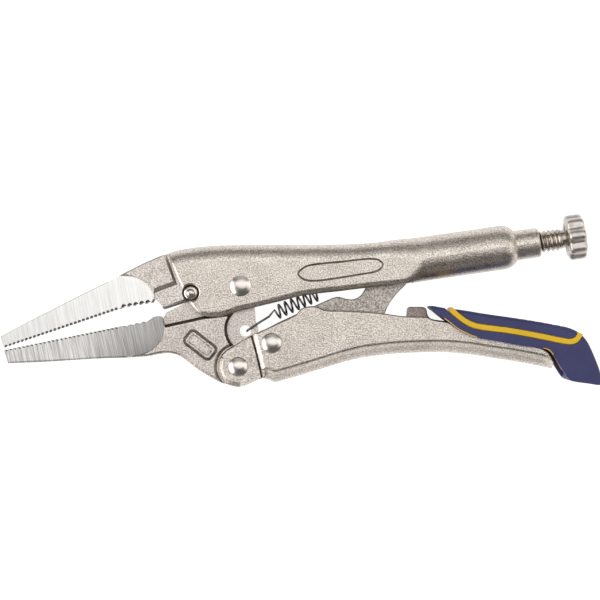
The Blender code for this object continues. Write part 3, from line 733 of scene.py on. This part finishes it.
def upper_jaw():
    top = flow([(-17.2, 0.5, 0), (-18.9, 4.8), (-19.9, 8.0), (-20.4, 8.6), (-21.4, 8.5),
                (-25.4, 6.85), (-28.6, 5.3), (-31.8, 3.7), (-34.5, 2.2), (-41.8, -1.3),
                (-52.9, -6.9), (-61.2, -11.1), (-66.4, -13.9, 0), (-65.7, -16.6, 0)],
               0.8, closed=False)
    nose_top = [(x, y) for x, y in reversed(top) if x < -36.0 and y > -14.0]
    body = plate("jaw", top + teeth((-65.3, -17.0), (-33.6, -6.3), FINE_PITCH, 0.34)
                 + teeth((-32.9, -6.0), (-24.6, -4.6), COARSE_PITCH, 0.5)
                 + [(-24.0, -3.6), (-23.6, -1.9)], -5.2, 5.2)
    soften(body, 0.6, lambda x, y, z: y > 1.5 and -33.0 < x < -22.2, 3)
    for sign in (1, -1):
        step = [[(x, base + rise, z * sign) for rise, z in
                 [(3.77, 7.1), (-0.39, 3.9), (-9.0, 3.9), (-9.0, 7.1)]]
                for x, base in [(-23.75, -1.96), (-14.0, 1.7)]]
        heel = [[(edge + out, y, z * sign) for out, z in
                 [(-2.46, 7.1), (0.0, 3.9), (6.0, 3.9), (6.0, 7.1)]]
                for y, edge in [(-3.0, -15.94), (14.0, -22.06)]]
        carve(body, lofted("cheek_step", [[Vector(p) for p in ring] for ring in step]),
              lofted("heel_edge", [[Vector(p) for p in ring] for ring in heel]))
    arc = flow([(-70.0, -24.0, 0), (-23.0, -9.0, 0), (-23.2, -6.0), (-23.5, -3.5),
                (-24.4, -1.7), (-26.1, 0.7), (-29.4, 2.5), (-34.3, 2.9), (-37.0, 3.4, 0),
                (-37.0, 9.0, 0), (-70.0, 9.0, 0)], 0.5)
    for sign in (1, -1):
        carve(body, ground_cutter(arc, UPPER_FLAT, sign))
        carve(body, rounding(nose_top, 0.3, 0.0, sign,
                             lambda x: flat_height(UPPER_FLAT, x)))
    carve(body,
          tooth_cups([(-65.35, -16.85), (-33.65, -6.15)], FINE_PITCH, UPPER_FLAT, 0.5),
          tooth_cups([(-32.95, -5.75), (-24.65, -4.35)], COARSE_PITCH, UPPER_FLAT, 0.72))
    tang = plate("tang", [(-23.6, -1.9), (-23.9, -3.3), (-23.5, -3.6), (-22.2, -4.7),
                          (-21.1, -6.4), (-13.7, -4.0), (-9.0, -4.2), (-6.0, -5.0)]
                 + ring_of((0.0, 0.0), 6.2, 232, 350, 12)
                 + [(6.9, 3.0), (6.4, 9.3), (-3.0, 9.3), (-11.4, 8.7), (-14.1, 8.5),
                    (-18.6, 7.75), (-19.3, 7.7), (-19.6, 8.5), (-19.8, 9.0),
                    (-20.4, 8.7), (-21.5, 8.3), (-23.6, 6.8)], -4.2, 4.2)
    soften(tang, 0.9, lambda x, y, z: -21.0 < x < -9.0 and y < -3.6, 2)
    join_on(body, tang)
    slot = plate("slot", [(-22.8, -9.0), (-22.2, -5.3), (-14.6, -2.4), (-9.4, -0.4)]
                 + ring_of((0.0, 0.0), 6.7, 150, 0, 16) + [(9.0, -2.0), (9.0, -9.0)],
                 -2.4, 2.4)
    seats = [plate("pin_seat", ring_of(CROSS_PIN, 2.42, count=40),
                   *sorted((s * 3.3, s * 9.0))) for s in (1, -1)]
    carve(body, slot, *seats, hole((0.0, 0.0), MAIN_HOLE), hole(CROSS_PIN, 1.3))
    settle(body, "upper_jaw_forging", "upper_body", ["upper_jaw"], None)
    nose_finish(body, UPPER_FLAT, -23.0, [(-65.3, -17.0), (-33.6, -6.3), (-24.6, -4.6)],
                UPPER_GROUND, JAW_NICKEL, PAINTED_SHADE_STEEL)


def nose_finish(piece, flat, rear, line, ground, satin, recess_shade):
    """Ground flats and front, painted shade in the grooves along the teeth and on the cross
    pin's seat, satin elsewhere.
    """
    piece.data.materials.clear()
    for finish in (satin, ground, recess_shade):
        piece.data.materials.append(finish)
    for face in piece.data.polygons:
        centre = (face.center - MAIN) / MM
        height = flat_height(flat, centre.x)
        near = abs(centre.y - reach(line, centre.x)) < 0.8
        seat = math.hypot(centre.x - CROSS_PIN[0], centre.y - CROSS_PIN[1]) < 2.5
        # Painted shade: the seat round the cross pin and the tooth grooves take the third,
        # near-black finish.
        if seat and abs(centre.z) > 3.0:
            face.material_index = 2
        elif centre.x < rear and near and abs(centre.z) < height - 0.02:
            face.material_index = 2
        elif centre.x < rear and abs(centre.z) < height + 0.05:
            face.material_index = 1


def lower_jaw():
    under = flow([(-65.5, -17.9, 0), (-64.3, -21.4, 0), (-52.9, -20.9),
                  (-39.1, -20.0), (-30.7, -19.7), (-25.2, -19.3), (-22.4, -18.7),
                  (-19.7, -18.5), (-16.9, -19.2), (-14.1, -21.2), (-11.4, -23.2),
                  (-8.6, -24.9), (-5.8, -26.4), (-3.0, -27.3), (-0.7, -27.7),
                  (2.5, -26.7), (4.4, -24.2), (4.8, -22.2, 0)], 0.7, closed=False)
    nose_under = [(x, y) for x, y in reversed(under) if -64.35 < x < -31.0 and y < -19.0]
    nose_under.append((-66.5, -21.5))
    body = plate("jaw", teeth((-25.4, -9.5), (-32.6, -11.05), COARSE_PITCH, 0.42)
                 + teeth((-33.6, -11.15), (-65.3, -17.6), FINE_PITCH, 0.34) + under
                 + [(2.8, -18.0), (4.0, -13.3), (4.7, -12.5), (4.7, -11.4), (4.0, -9.6),
                    (3.9, -7.6), (2.0, -7.3), (-2.0, -7.4), (-6.5, -7.9), (-10.2, -8.3),
                    (-21.1, -10.7), (-21.5, -9.0), (-22.4, -8.3), (-23.8, -8.4)],
                 -4.2, 4.2)
    soften(body, 0.75, lambda x, y, z: -30.0 < x < -2.0 and y < -18.0, 4)
    shoulder = [(-21.0, -10.68), (-16.0, -9.58), (-10.2, -8.3),
                (-6.5, -7.9), (-2.0, -7.4), (2.0, -7.3)]
    arc = flow([(-70.0, -4.0, 0), (-21.6, -4.0, 0), (-21.5, -8.3), (-21.1, -12.5),
                (-21.6, -14.4), (-23.0, -16.3), (-25.2, -17.9), (-28.0, -18.9),
                (-29.9, -19.2), (-38.0, -19.6), (-66.0, -21.0, 0), (-70.0, -21.0, 0)],
               0.5)
    for sign in (1, -1):
        carve(body, ground_cutter(arc, LOWER_FLAT, sign))
        carve(body, rounding(shoulder, 1.15, 4.2, sign))
        carve(body, rounding(nose_under, 0.5, 0.0, sign,
                             lambda x: flat_height(LOWER_FLAT, x)))
    carve(body, tooth_cups([(-65.25, -17.85), (-33.55, -11.4)], FINE_PITCH, LOWER_FLAT,
                           0.34))
    nose_low = [(-70.0, -19.0), (-30.0, -19.0), (-29.9, -30.0), (-70.0, -30.0)]
    for sign in (1, -1):
        carve(body, lofted("nose_low", [
            [Vector((x, y, sign * (flat_height(LOWER_FLAT, x) + 0.1 + rise)))
             for x, y in nose_low] for rise in (0.0, 9.0)]))
    ear = plate("ear", [(-21.3, -11.5), (-21.4, -8.8), (-20.6, -7.3), (-14.0, -4.0),
                        (-8.6, -2.6)] + ring_of((0.0, 0.0), 5.6, 165, -50, 20)
                + [(3.9, -7.6), (4.0, -9.6), (4.7, -11.4), (4.7, -12.5), (4.0, -13.3),
                   (4.0, -19.0), (-3.0, -19.0), (-10.0, -12.0)], -2.1, 2.1)
    for sign in (1, -1):
        stops = [(2.1, 0.0), (3.3, 0.1), (4.22, 0.75), (6.0, 2.0)]
        side = [(sign * z, d) for z, d in stops]
        carve(body, flared("yoke_recess", ring_of(JAW_PIVOT, 6.0, count=48), side),
              flared("ear_recess", ring_of((2.5, -11.9), 6.3, count=48), side))
    join_on(body, ear)
    carve(body, hole((0.0, 0.0), MAIN_HOLE), hole(JAW_PIVOT, RIVET_HOLE),
          hole(SPRING_HOLE, 1.6))
    frame_at = Vector((-11.1, -16.2))
    along = Vector((0.793, -0.609))
    across = Vector((0.609, 0.793))

    def lozenge(length, width, corner):
        shape = []
        for sx, sy, start in ((1, 1, 0), (-1, 1, 90), (-1, -1, 180), (1, -1, 270)):
            middle = (sx * (0.5 * length - corner), sy * (0.5 * width - corner))
            shape += ring_of(middle, corner, start, start + 90, 6)
        return [tuple(frame_at + along * u + across * v) for u, v in shape]

    for sign in (1, -1):
        carve(body, vee_ring(lozenge(8.9, 4.3, 1.2), 4.2, 0.4, sign),
              vee_ring(lozenge(6.9, 2.4, 0.9), 4.2, 0.16, sign))
    settle(body, "lower_jaw_forging", "lower_jaw_body", ["lower_jaw"], None)
    nose_finish(body, LOWER_FLAT, -20.9, [(-65.3, -17.6), (-33.6, -11.15), (-25.4, -9.5)],
                LOWER_GROUND_SHADED, LOWER_JAW_NICKEL, PAINTED_SHADE_STEEL)
    ear_line = ring_of((2.5, -11.9), 6.55, 95, 235, 24)
    border = lozenge(9.3, 4.7, 1.4)
    # Painted shade along the shoulder under the upper cheek and in the line round the ear
    # recess.
    paint(body, PAINTED_SHADE_STEEL,
          lambda x, y, z: (gap_to(shoulder, x, y) < 1.1 and x < -8.0
                           and 2.2 < abs(z) < 4.17)
          or (gap_to(ear_line, x, y) < 0.55 and 2.15 < abs(z) < 4.19))
    # Painted shade in the frame's outer vee line.
    paint(body, STAMPED_LINE_SHADE,
          lambda x, y, z: gap_to(border + border[:1], x, y) < 0.42
          and 3.7 < abs(z) < 4.18)


# ------------------------------------------------------------------ lower handle
LOWER_TOP = flow([(0.0, -15.4), (4.0, -13.2), (7.0, -11.8), (10.8, -10.0), (15.2, -7.9),
                  (16.6, -6.3), (18.0, -5.75), (19.9, -5.55), (21.5, -5.9), (22.9, -6.6),
                  (28.0, -6.8), (34.3, -7.1), (39.7, -7.6), (44.6, -8.3), (51.2, -8.6),
                  (52.9, -9.3), (55.0, -9.6), (57.1, -9.9), (60.0, -11.4), (64.0, -13.0),
                  (70.0, -14.3), (77.0, -15.8), (82.0, -16.8), (84.2, -18.0),
                  (85.6, -20.4), (86.4, -22.5)], closed=False)
LOWER_SPINE = flow([(0.0, -25.2), (6.1, -25.5), (7.8, -26.0), (9.3, -26.6), (11.1, -26.2),
                    (16.3, -24.7), (21.9, -23.0), (27.4, -21.3), (33.0, -19.9),
                    (38.5, -19.1), (44.0, -18.6), (52.4, -18.3), (57.9, -18.4),
                    (63.4, -18.9), (69.0, -19.8), (74.5, -20.6), (80.1, -21.6),
                    (86.4, -22.9)], closed=False)


def lower_handle():
    rings = []
    x = 1.0
    while x < 86.3:
        top = reach(LOWER_TOP, x)
        bottom = reach(LOWER_SPINE, x)
        tall = top - bottom
        rings.append(belly_section(x, top, bottom, 5.1, min(0.5, 0.25 * tall),
                                   min(1.0, 0.2 * tall)))
        x += 0.75
    body = lofted("handle", rings)
    front = flow([(-3.0, -8.0, 0), (1.6, -8.0, 0), (3.2, -13.3), (4.7, -19.0),
                  (6.2, -25.5), (7.0, -30.0, 0), (-3.0, -30.0, 0)], 0.6)
    rim = [(-7.0, 3.8), (-5.12, 1.7), (-5.0, 1.15), (-4.86, 0.86), (-4.3, 0.1),
           (-4.1, 0.0), (4.1, 0.0), (4.3, 0.1), (4.86, 0.86), (5.0, 1.15), (5.12, 1.7),
           (7.0, 3.8)]
    carve(body, flared("front", front, rim))
    trough = plate("trough", [(2.0, -4.0), (2.0, -24.6), (9.1, -25.0), (13.3, -24.0),
                              (16.3, -23.2), (21.9, -21.5), (27.4, -19.8),
                              (33.0, -18.4), (38.5, -17.6), (44.0, -17.1),
                              (52.4, -16.8), (57.9, -16.9), (63.4, -17.4),
                              (69.0, -18.1), (74.5, -18.7), (90.0, -20.9),
                              (90.0, -4.0)], -3.6, 3.6)
    soften(trough, 2.6, lambda px, py, pz: 2.1 < px < 89.0 and py < -15.0, 4)
    carve(body, trough)
    for sign in (1, -1):
        line = ring_of(JAW_PIVOT, 5.55, 137, 285, 31)
        curved = len(line)
        line += [(2.7, -26.85), (5.0, -25.6), (6.8, -25.2), (7.4, -12.2), (5.8, -12.2),
                 (3.9, -13.15), (1.9, -14.15), (-0.9, -15.8), (-3.7, -17.45)]
        wide = moved_out(line, -1.25)
        narrow = moved_out(line, -0.3)
        rise = [line, line, [w if 2 < i < curved - 2 else n
                             for i, (w, n) in enumerate(zip(wide, narrow))]]
        join_on(body, lofted("ear", [[Vector((x, y, sign * z)) for x, y in shape]
                                     for shape, z in zip(rise, (2.5, 3.15, 4.1))]))
    foot = flow([(3.0, -12.9), (3.55, -14.8), (4.7, -19.0), (6.1, -25.1)], 0.6,
                closed=False)
    for sign in (1, -1):
        carve(body, plate("foot", beside(foot, -0.55) + list(reversed(beside(foot, 0.04))),
                          *sorted((sign * 3.5, sign * 4.5))))
    carve(body, hole(JAW_PIVOT, RIVET_HOLE), hole(LINK_PIVOT, RIVET_HOLE),
          plate("lever_dimples", ring_of(LEVER_PIVOT, 1.45, count=24), -4.7, 4.7))
    settle(body, "lower_handle_shell", "lower_handle_body", ["lower_handle"],
           LOWER_NICKEL, 30.0)
    # Painted shade in the concave foot of the joggle.
    paint(body, PAINTED_SHADE_STEEL,
          lambda x, y, z: gap_to(foot, x, y) < 0.62 and 3.45 < abs(z) < 4.06)


# ---------------------------------------------------------- link, lever and pins
def toggle_link():
    line = ring_of(LINK_PIVOT, 4.2, 250, 120, 16)
    line += flow([(10.8, -9.8), (25.2, -3.35), (26.9, -3.0), (29.4, -3.6), (31.3, -3.6),
                  (33.1, -2.6), (34.3, -0.8), (37.2, 4.2)], 0.6, closed=False)
    line += ring_of(TOGGLE_END, 3.3, 150, -20, 16)
    line += flow([(46.6, 4.2), (46.9, 2.6, 0), (45.6, 0.5), (43.3, -1.8), (41.7, -3.8),
                  (40.6, -5.5), (39.8, -7.4), (38.6, -9.6, 0), (25.0, -16.8),
                  (14.0, -19.8)], 0.6, closed=False)
    link = plate("link", line, -1.5, 1.5)
    soften(link, 0.35, lambda x, y, z: True, 3)
    carve(link, hole(LINK_PIVOT, RIVET_HOLE))
    settle(link, "toggle_link_plate", "toggle_body", ["toggle_link"], LINK_NICKEL_SHADED)


def release_lever():
    line = flow([(39.4, -10.2, 0), (40.2, -9.8), (44.5, -9.5), (45.4, -8.9), (45.8, -8.2),
                 (46.0, -6.3), (46.5, -5.8), (48.0, -5.75), (50.4, -5.8), (51.1, -6.3),
                 (51.5, -8.0), (52.4, -9.0), (56.0, -9.6), (60.0, -10.2), (70.0, -10.9),
                 (80.0, -12.3), (83.0, -12.9, 0), (83.0, -13.9, 0), (70.0, -13.3),
                 (60.0, -14.2), (54.0, -15.4), (50.0, -14.4), (44.0, -12.6),
                 (39.8, -11.6)], 0.7)
    lever = plate("lever", line, -2.6, 2.6)
    soften(lever, 0.4, lambda x, y, z: True, 3)
    carve(lever, hole(LEVER_PIVOT, 1.45, count=24))
    settle(lever, "release_lever_strip", "lever_body", ["release_lever"], LEVER_NICKEL)


def rivet(name, body, node, centre, head, seat, crown, shank):
    """A rivet with a polished dome at each end."""
    rise = crown - seat - 0.12
    ball = (head * head + rise * rise) / (2.0 * rise)
    dome = [(head * k / 9.0, crown - ball + math.sqrt(ball * ball - (head * k / 9.0) ** 2))
            for k in range(9)]
    dome += [(head * 0.985, seat + 0.17)]
    half = dome + [(head, seat), (shank, seat)]
    rod = spun("rivet", half + [(r, -d) for r, d in reversed(half)],
               Vector((*centre, 0.0)), SIDEWAYS, Vector((0, 1, 0)))
    settle(rod, name, body, [node], HEAD_NICKEL, 50.0)


def cross_pin():
    half = [(0.0, 5.72), (0.5, 5.68), (0.85, 5.55), (1.08, 5.3), (1.15, 5.02),
            (1.32, 4.96), (1.6, 4.93), (1.78, 4.8), (1.8, 4.4), (1.1, 4.4)]
    pin = spun("pin", half + [(r, -d) for r, d in reversed(half)],
               Vector((*CROSS_PIN, 0.0)), SIDEWAYS, Vector((0, 1, 0)))
    settle(pin, "cross_pin_headed", "upper_body", ["jaw_cross_pin"], PIN_NICKEL,
           40.0)


# -------------------------------------------------------------- screw and knob
KNOB_START = 47.9
KNOB_LENGTH = 4.9
KNOB_FLUTES = 8
PITCH = 1.27


def adjusting_screw():
    """The rod, with a real helical thread where it shows."""
    count = 28
    rings = []

    def add_ring(distance, radius_at):
        rings.append(turned_ring(along_axis(distance), radius_at, count))

    def add_plain(*stops):
        for distance, radius in stops:
            add_ring(distance, lambda i, r=radius: r)

    add_plain((4.9, 0.001), (4.9, 2.3), (5.4, 3.0), (9.6, 3.0))
    distance = 10.0
    while distance < 46.4:
        def wavy(i, at=distance):
            phase = (at / PITCH - i / count) % 1.0
            rise = abs(2.0 * phase - 1.0)
            rise = min(max((rise - 0.12) / 0.72, 0.0), 1.0)
            fade = min(ease(at, 10.0, 11.5), 1.0 - ease(at, 45.2, 46.4))
            return 2.52 + 0.5 * (rise * fade + (1 - fade) * 0.2)
        add_ring(distance, wavy)
        distance += PITCH / 9.0
    end = KNOB_START + KNOB_LENGTH
    add_plain((46.6, 2.5), (47.4, 2.5), (47.5, 1.95), (end - 1.0, 1.95),
              (end - 0.7, 1.8), (end - 0.6, 1.4), (end - 0.6, 0.001))
    rod = lofted("screw", rings)
    settle(rod, "screw_thread", "screw_body", ["adjusting_screw"], THREAD_STEEL,
           50.0)


def screw_knob():
    """A fluted knob with rounded rims and a shallow dish in each face."""
    count = 128
    rings = []
    for distance, drop in [(0.0, 1.1), (0.06, 0.72), (0.25, 0.36), (0.6, 0.1), (1.1, 0.0),
                           (2.45, 0.0), (3.8, 0.0), (4.3, 0.1), (4.65, 0.36),
                           (4.84, 0.72), (KNOB_LENGTH, 1.1)]:
        def fluted(i, low=drop):
            turn = KNOB_FLUTES * 2.0 * math.pi * i / count + 0.6
            lobe = 1.0 - (0.5 - 0.5 * math.cos(turn)) ** 1.6
            return 5.3 + 0.93 * lobe - low
        rings.append(turned_ring(along_axis(KNOB_START + distance), fluted, count))
    knob = lofted("knob", rings)
    carve(knob,
          spun("bore", [(2.3, -2.0), (2.3, 8.0)], along_axis(KNOB_START), AXIS),
          spun("dish", [(3.5, 4.55), (3.7, 4.7), (4.0, 6.0)], along_axis(KNOB_START), AXIS,
               count=48),
          spun("inner_dish", [(4.0, -1.0), (3.7, 0.2), (3.5, 0.35)],
               along_axis(KNOB_START), AXIS, count=48))
    settle(knob, "knob_fluted", "knob_body", ["screw_knob"], KNOB_NICKEL,
           38.0)


# ------------------------------------------------------------------------ spring
def return_spring():
    """An extension coil with a straight hook at each end."""
    coil_from = Vector((9.6, -7.4, 0.0))
    coil_to = Vector((21.6, -2.0, 0.0))
    along = (coil_to - coil_from).normalized()
    across = Vector((-along.y, along.x, 0.0))
    wire = [Vector((1.7, -12.4, -0.6)), Vector((1.7, -12.4, 1.6)),
            Vector((1.9, -12.2, 2.3)), Vector((2.5, -11.8, 2.7)), Vector((5.2, -10.0, 2.7)),
            Vector((7.8, -8.4, 2.3))]
    coil_radius = 1.75
    turns = 7
    per_turn = 18
    for step in range(per_turn * turns + 1):
        angle = 2.0 * math.pi * step / per_turn + math.radians(60)
        centre = coil_from.lerp(coil_to, step / (per_turn * turns))
        wire.append(centre + across * coil_radius * math.cos(angle)
                    + SIDEWAYS * coil_radius * math.sin(angle))
    wire += [Vector((23.6, -0.6, 0.8)), Vector((28.2, 5.6, 2.0)), Vector((29.2, 8.0, 2.1)),
             Vector((30.0, 8.45, 2.1)), Vector((31.2, 8.4, 2.0)), Vector((31.9, 8.3, 1.2)),
             Vector((32.0, 8.3, 0.4))]
    clear_selection()
    bpy.ops.curve.primitive_bezier_curve_add()
    spring = bpy.context.object
    curve = spring.data
    curve.splines.clear()
    curve.dimensions = "3D"
    curve.bevel_depth = 0.31
    curve.bevel_resolution = 2
    curve.use_fill_caps = True
    strand = curve.splines.new("POLY")
    strand.points.add(len(wire) - 1)
    for point, at in zip(strand.points, wire):
        point.co = (*at, 1.0)
    choose(spring)
    bpy.ops.object.convert(target="MESH")
    spring = bpy.context.object
    settle(spring, "return_spring_coil", None, ["return_spring"], SPRING_WIRE,
           60.0)
    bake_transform(spring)


# -------------------------------------------------------------------------- grip
GRIP_HALF = 7.2
CORE_HALF = 6.2
HOLLOW_HALF = 5.4
LEVER_ROOM_HALF = 2.9
GRIP = flow([(52.0, -5.6), (52.6, -5.45), (55.1, -5.9), (60.7, -6.6), (66.2, -7.5),
             (71.7, -8.3), (77.3, -9.1), (82.8, -10.0), (85.9, -10.6), (88.1, -11.0),
             (90.3, -11.6), (92.2, -12.5), (93.7, -13.7), (95.1, -15.5), (96.4, -18.2),
             (97.7, -21.4), (98.9, -25.0), (99.05, -26.2), (98.7, -26.9), (97.9, -27.1),
             (95.2, -26.7), (90.6, -26.0), (89.6, -25.3), (88.3, -23.4), (86.5, -20.5),
             (85.3, -18.6), (84.3, -17.6), (82.8, -17.1), (77.0, -16.4), (70.1, -15.1),
             (64.6, -14.1), (62.0, -13.1), (59.3, -11.7), (57.0, -9.9), (55.0, -8.4),
             (52.9, -6.7), (52.0, -6.0)], 0.7)
GRIP_BACK = flow([(50.0, -5.2), (52.6, -5.42), (55.1, -5.88), (60.7, -6.6), (66.2, -7.5),
                  (71.7, -8.3), (77.3, -9.1), (82.8, -10.0), (85.9, -10.6),
                  (88.1, -11.0), (90.3, -11.6), (92.2, -12.5), (93.7, -13.7),
                  (95.1, -15.5), (96.4, -18.2), (97.7, -21.4), (98.9, -25.0),
                  (99.6, -28.0)], 0.9, closed=False)
GRIP_FRONT = flow([(85.4, -18.8), (84.3, -17.6), (82.8, -17.1), (77.0, -16.4),
                   (70.1, -15.1), (64.6, -14.1), (62.0, -13.1), (59.3, -11.7),
                   (57.0, -9.9), (55.0, -8.4), (52.9, -6.7)], 0.9, closed=False)
CORE = [(57.0, -7.2), (60.8, -7.6), (66.1, -8.5), (71.6, -9.3), (77.2, -10.1),
        (82.7, -11.0), (86.0, -11.9), (90.0, -12.6), (92.0, -13.6), (94.2, -15.8),
        (96.0, -20.0), (97.2, -24.8), (95.0, -25.6), (90.9, -24.9), (89.2, -23.0),
        (87.4, -20.0), (86.1, -17.9), (84.6, -16.7), (82.5, -16.2), (77.2, -15.5),
        (70.3, -14.0), (64.4, -13.0), (60.0, -11.0), (58.0, -9.2)]
HOLLOW = [(50.0, -8.8), (57.0, -8.9), (62.0, -10.9), (70.0, -12.1), (78.0, -12.6),
          (85.5, -13.4), (87.8, -17.0), (89.2, -21.0), (90.0, -24.0), (88.6, -27.5),
          (50.0, -27.5)]
STRIPE = [(57.5, -6.4), (59.4, -8.1), (61.9, -9.9), (64.7, -11.0), (73.5, -12.2),
          (82.4, -13.8), (87.7, -14.9), (90.5, -15.2), (92.1, -14.4), (92.9, -12.9)]
LEVER_ROOM = [(50.0, -5.0), (56.0, -9.2), (60.0, -9.8), (70.0, -10.5), (80.0, -11.9),
              (83.4, -12.5), (83.4, -20.0), (50.0, -20.0)]


def grip_form():
    """The whole grip before it is split by its stripe."""
    form = plate("grip", GRIP, -GRIP_HALF, GRIP_HALF)
    for sign in (1, -1):
        carve(form, rounding(GRIP_BACK, 1.3, GRIP_HALF, sign),
              rounding(GRIP_FRONT, 0.45, GRIP_HALF, sign))
    return form


def core_room():
    """A cutter for the space that the core takes, with a little clearance."""
    return plate("core_room", moved_out(CORE, 0.2), -CORE_HALF - 0.2, CORE_HALF + 0.2)


def inner_rooms():
    """Cutters for the lower handle's tail and the lever inside the grip."""
    return (plate("hollow", HOLLOW, -HOLLOW_HALF, HOLLOW_HALF),
            plate("lever_room", LEVER_ROOM, -LEVER_ROOM_HALF, LEVER_ROOM_HALF))


def grip():
    long_stripe = flow([(55.6, -4.4)] + STRIPE + [(93.7, -11.0)], 0.6, closed=False)
    sleeve = grip_form()
    above = plate("above", beside(long_stripe, -0.9) + [(94.0, 0.0), (54.0, 0.0)],
                  -9.0, 9.0)
    hollow, lever_room = inner_rooms()
    carve(sleeve, core_room(), hollow, above, lever_room)
    settle(sleeve, "grip_sleeve_blue", "lever_body", ["grip_sleeve"], BLUE_RUBBER,
           35.0)
    paint(sleeve, YELLOW_PLASTIC,
          lambda x, y, z: gap_to(GRIP_FRONT, x, y) < 0.4 and 6.8 < abs(z) < 7.16
          and (55.5 < x < 64.5 or 82.5 < x))
    pad = grip_form()
    below = plate("below", beside(long_stripe, 0.9) + [(110.0, -8.0), (110.0, -40.0),
                                                       (40.0, -40.0), (40.0, 0.0)],
                  -9.0, 9.0)
    carve(pad, below, core_room())
    for k in range(6):
        x = 76.5 + 2.3 * k
        y = reach([(76.0, -8.9), (82.8, -10.0), (85.9, -10.6), (88.1, -11.0),
                   (90.3, -11.6)], x)
        carve(pad, plate("rib_gap", ring_of((x, y + 0.32), 0.55, count=16), -9.0, 9.0))
    settle(pad, "grip_pad_blue", "lever_body", ["grip_pad"], PAD_RUBBER, 35.0)
    core = plate("core", CORE, -CORE_HALF, CORE_HALF)
    stripe = flow(STRIPE, 0.6, closed=False)
    ridge = plate("ridge", beside(stripe, 0.76) + list(reversed(beside(stripe, -0.76))),
                  -7.12, 7.12)
    soften(ridge, 0.2, lambda x, y, z: True, 2)
    join_on(core, ridge)
    carve(core, *inner_rooms())
    settle(core, "grip_core_yellow", "lever_body", ["grip_core"], YELLOW_PLASTIC,
           35.0)


upper_handle()
upper_jaw()
lower_jaw()
lower_handle()
toggle_link()
release_lever()
rivet("main_rivet_domed", "upper_body", "main_rivet", (0.0, 0.0), 2.85, 6.3, 7.2, 2.2)
rivet("jaw_rivet_domed", "lower_jaw_body", "jaw_rivet", JAW_PIVOT, 2.7, 4.3, 5.3, 2.0)
rivet("link_rivet_domed", "lower_handle_body", "link_rivet", LINK_PIVOT, 2.8, 5.3, 6.25,
      2.0)
cross_pin()
adjusting_screw()
screw_knob()
return_spring()
grip()
pin = frame["nodes"]["lever_pin"]
pin.data.materials.clear()
pin.data.materials.append(LEVER_NICKEL)

# ------------------------------------------------------------------------- stage
clear_selection()
bpy.ops.mesh.primitive_plane_add(size=6.0, location=(0.0, 0.0, -0.0003))
floor = bpy.context.object
floor.name = "studio_floor"
paper = Finish("white_paper", 0.0)
tone = paper.noise(2.0, 2.0)
paper.wear(paper.ramp(tone, (0.3, (0.34, 0.34, 0.34)), (0.7, (0.37, 0.37, 0.37))),
           0.8 + tone * 0.05)
paper.shader.inputs["Emission Color"].default_value = (1.0, 1.0, 1.0, 1.0)
paper.shader.inputs["Emission Strength"].default_value = 0.88
floor.data.materials.append(paper.material)


def soft_light(name, place, aim, size, power, tint=(1.0, 1.0, 1.0), height=None,
               shape="RECTANGLE"):
    light = bpy.data.lights.new(name, "AREA")
    light.shape = shape
    light.size = size
    light.size_y = height or size
    light.energy = power
    light.color = tint
    lamp = bpy.data.objects.new(name, light)
    bpy.context.scene.collection.objects.link(lamp)
    lamp.location = place
    lamp.rotation_euler = (Vector(aim) - Vector(place)).to_track_quat("-Z", "Y").to_euler()


WARM = (1.0, 0.96, 0.92)
soft_light("overhead", (0.14, 0.25, 0.95), (0.14, 0.25, 0.0), 1.5, 4.6, height=0.86,
           shape="ELLIPSE")
soft_light("left_wall", (-1.05, -0.22, 0.62), (0.0, 0.0, 0.0), 1.5, 13.5, height=1.0)
soft_light("right_wall", (1.2, 0.1, 0.68), (0.0, 0.0, 0.0), 1.1, 5.5, WARM, 1.0)
soft_light("front_fill", (0.0, -1.3, 0.42), (0.0, 0.0, 0.0), 1.6, 0.7, WARM, 0.6)
soft_light("back_wall", (0.0, 1.3, 0.98), (0.0, 0.0, 0.0), 1.8, 1.7, WARM, 0.62)

world = bpy.data.worlds.new("studio_air")
bpy.context.scene.world = world
world.use_nodes = True
air = world.node_tree.nodes["Background"]
air.inputs["Color"].default_value = (0.95, 0.9, 0.85, 1.0)
air.inputs["Strength"].default_value = 0.11

camera_data = bpy.data.cameras.new("camera")
camera_data.sensor_width = 36.0
camera_data.lens = 108.3
camera_data.clip_start = 0.01
camera = bpy.data.objects.new("camera", camera_data)
bpy.context.scene.collection.objects.link(camera)
camera.location = (0.0, 0.0, 0.5072)
bpy.context.scene.camera = camera
bpy.context.scene.view_settings.view_transform = "Standard"
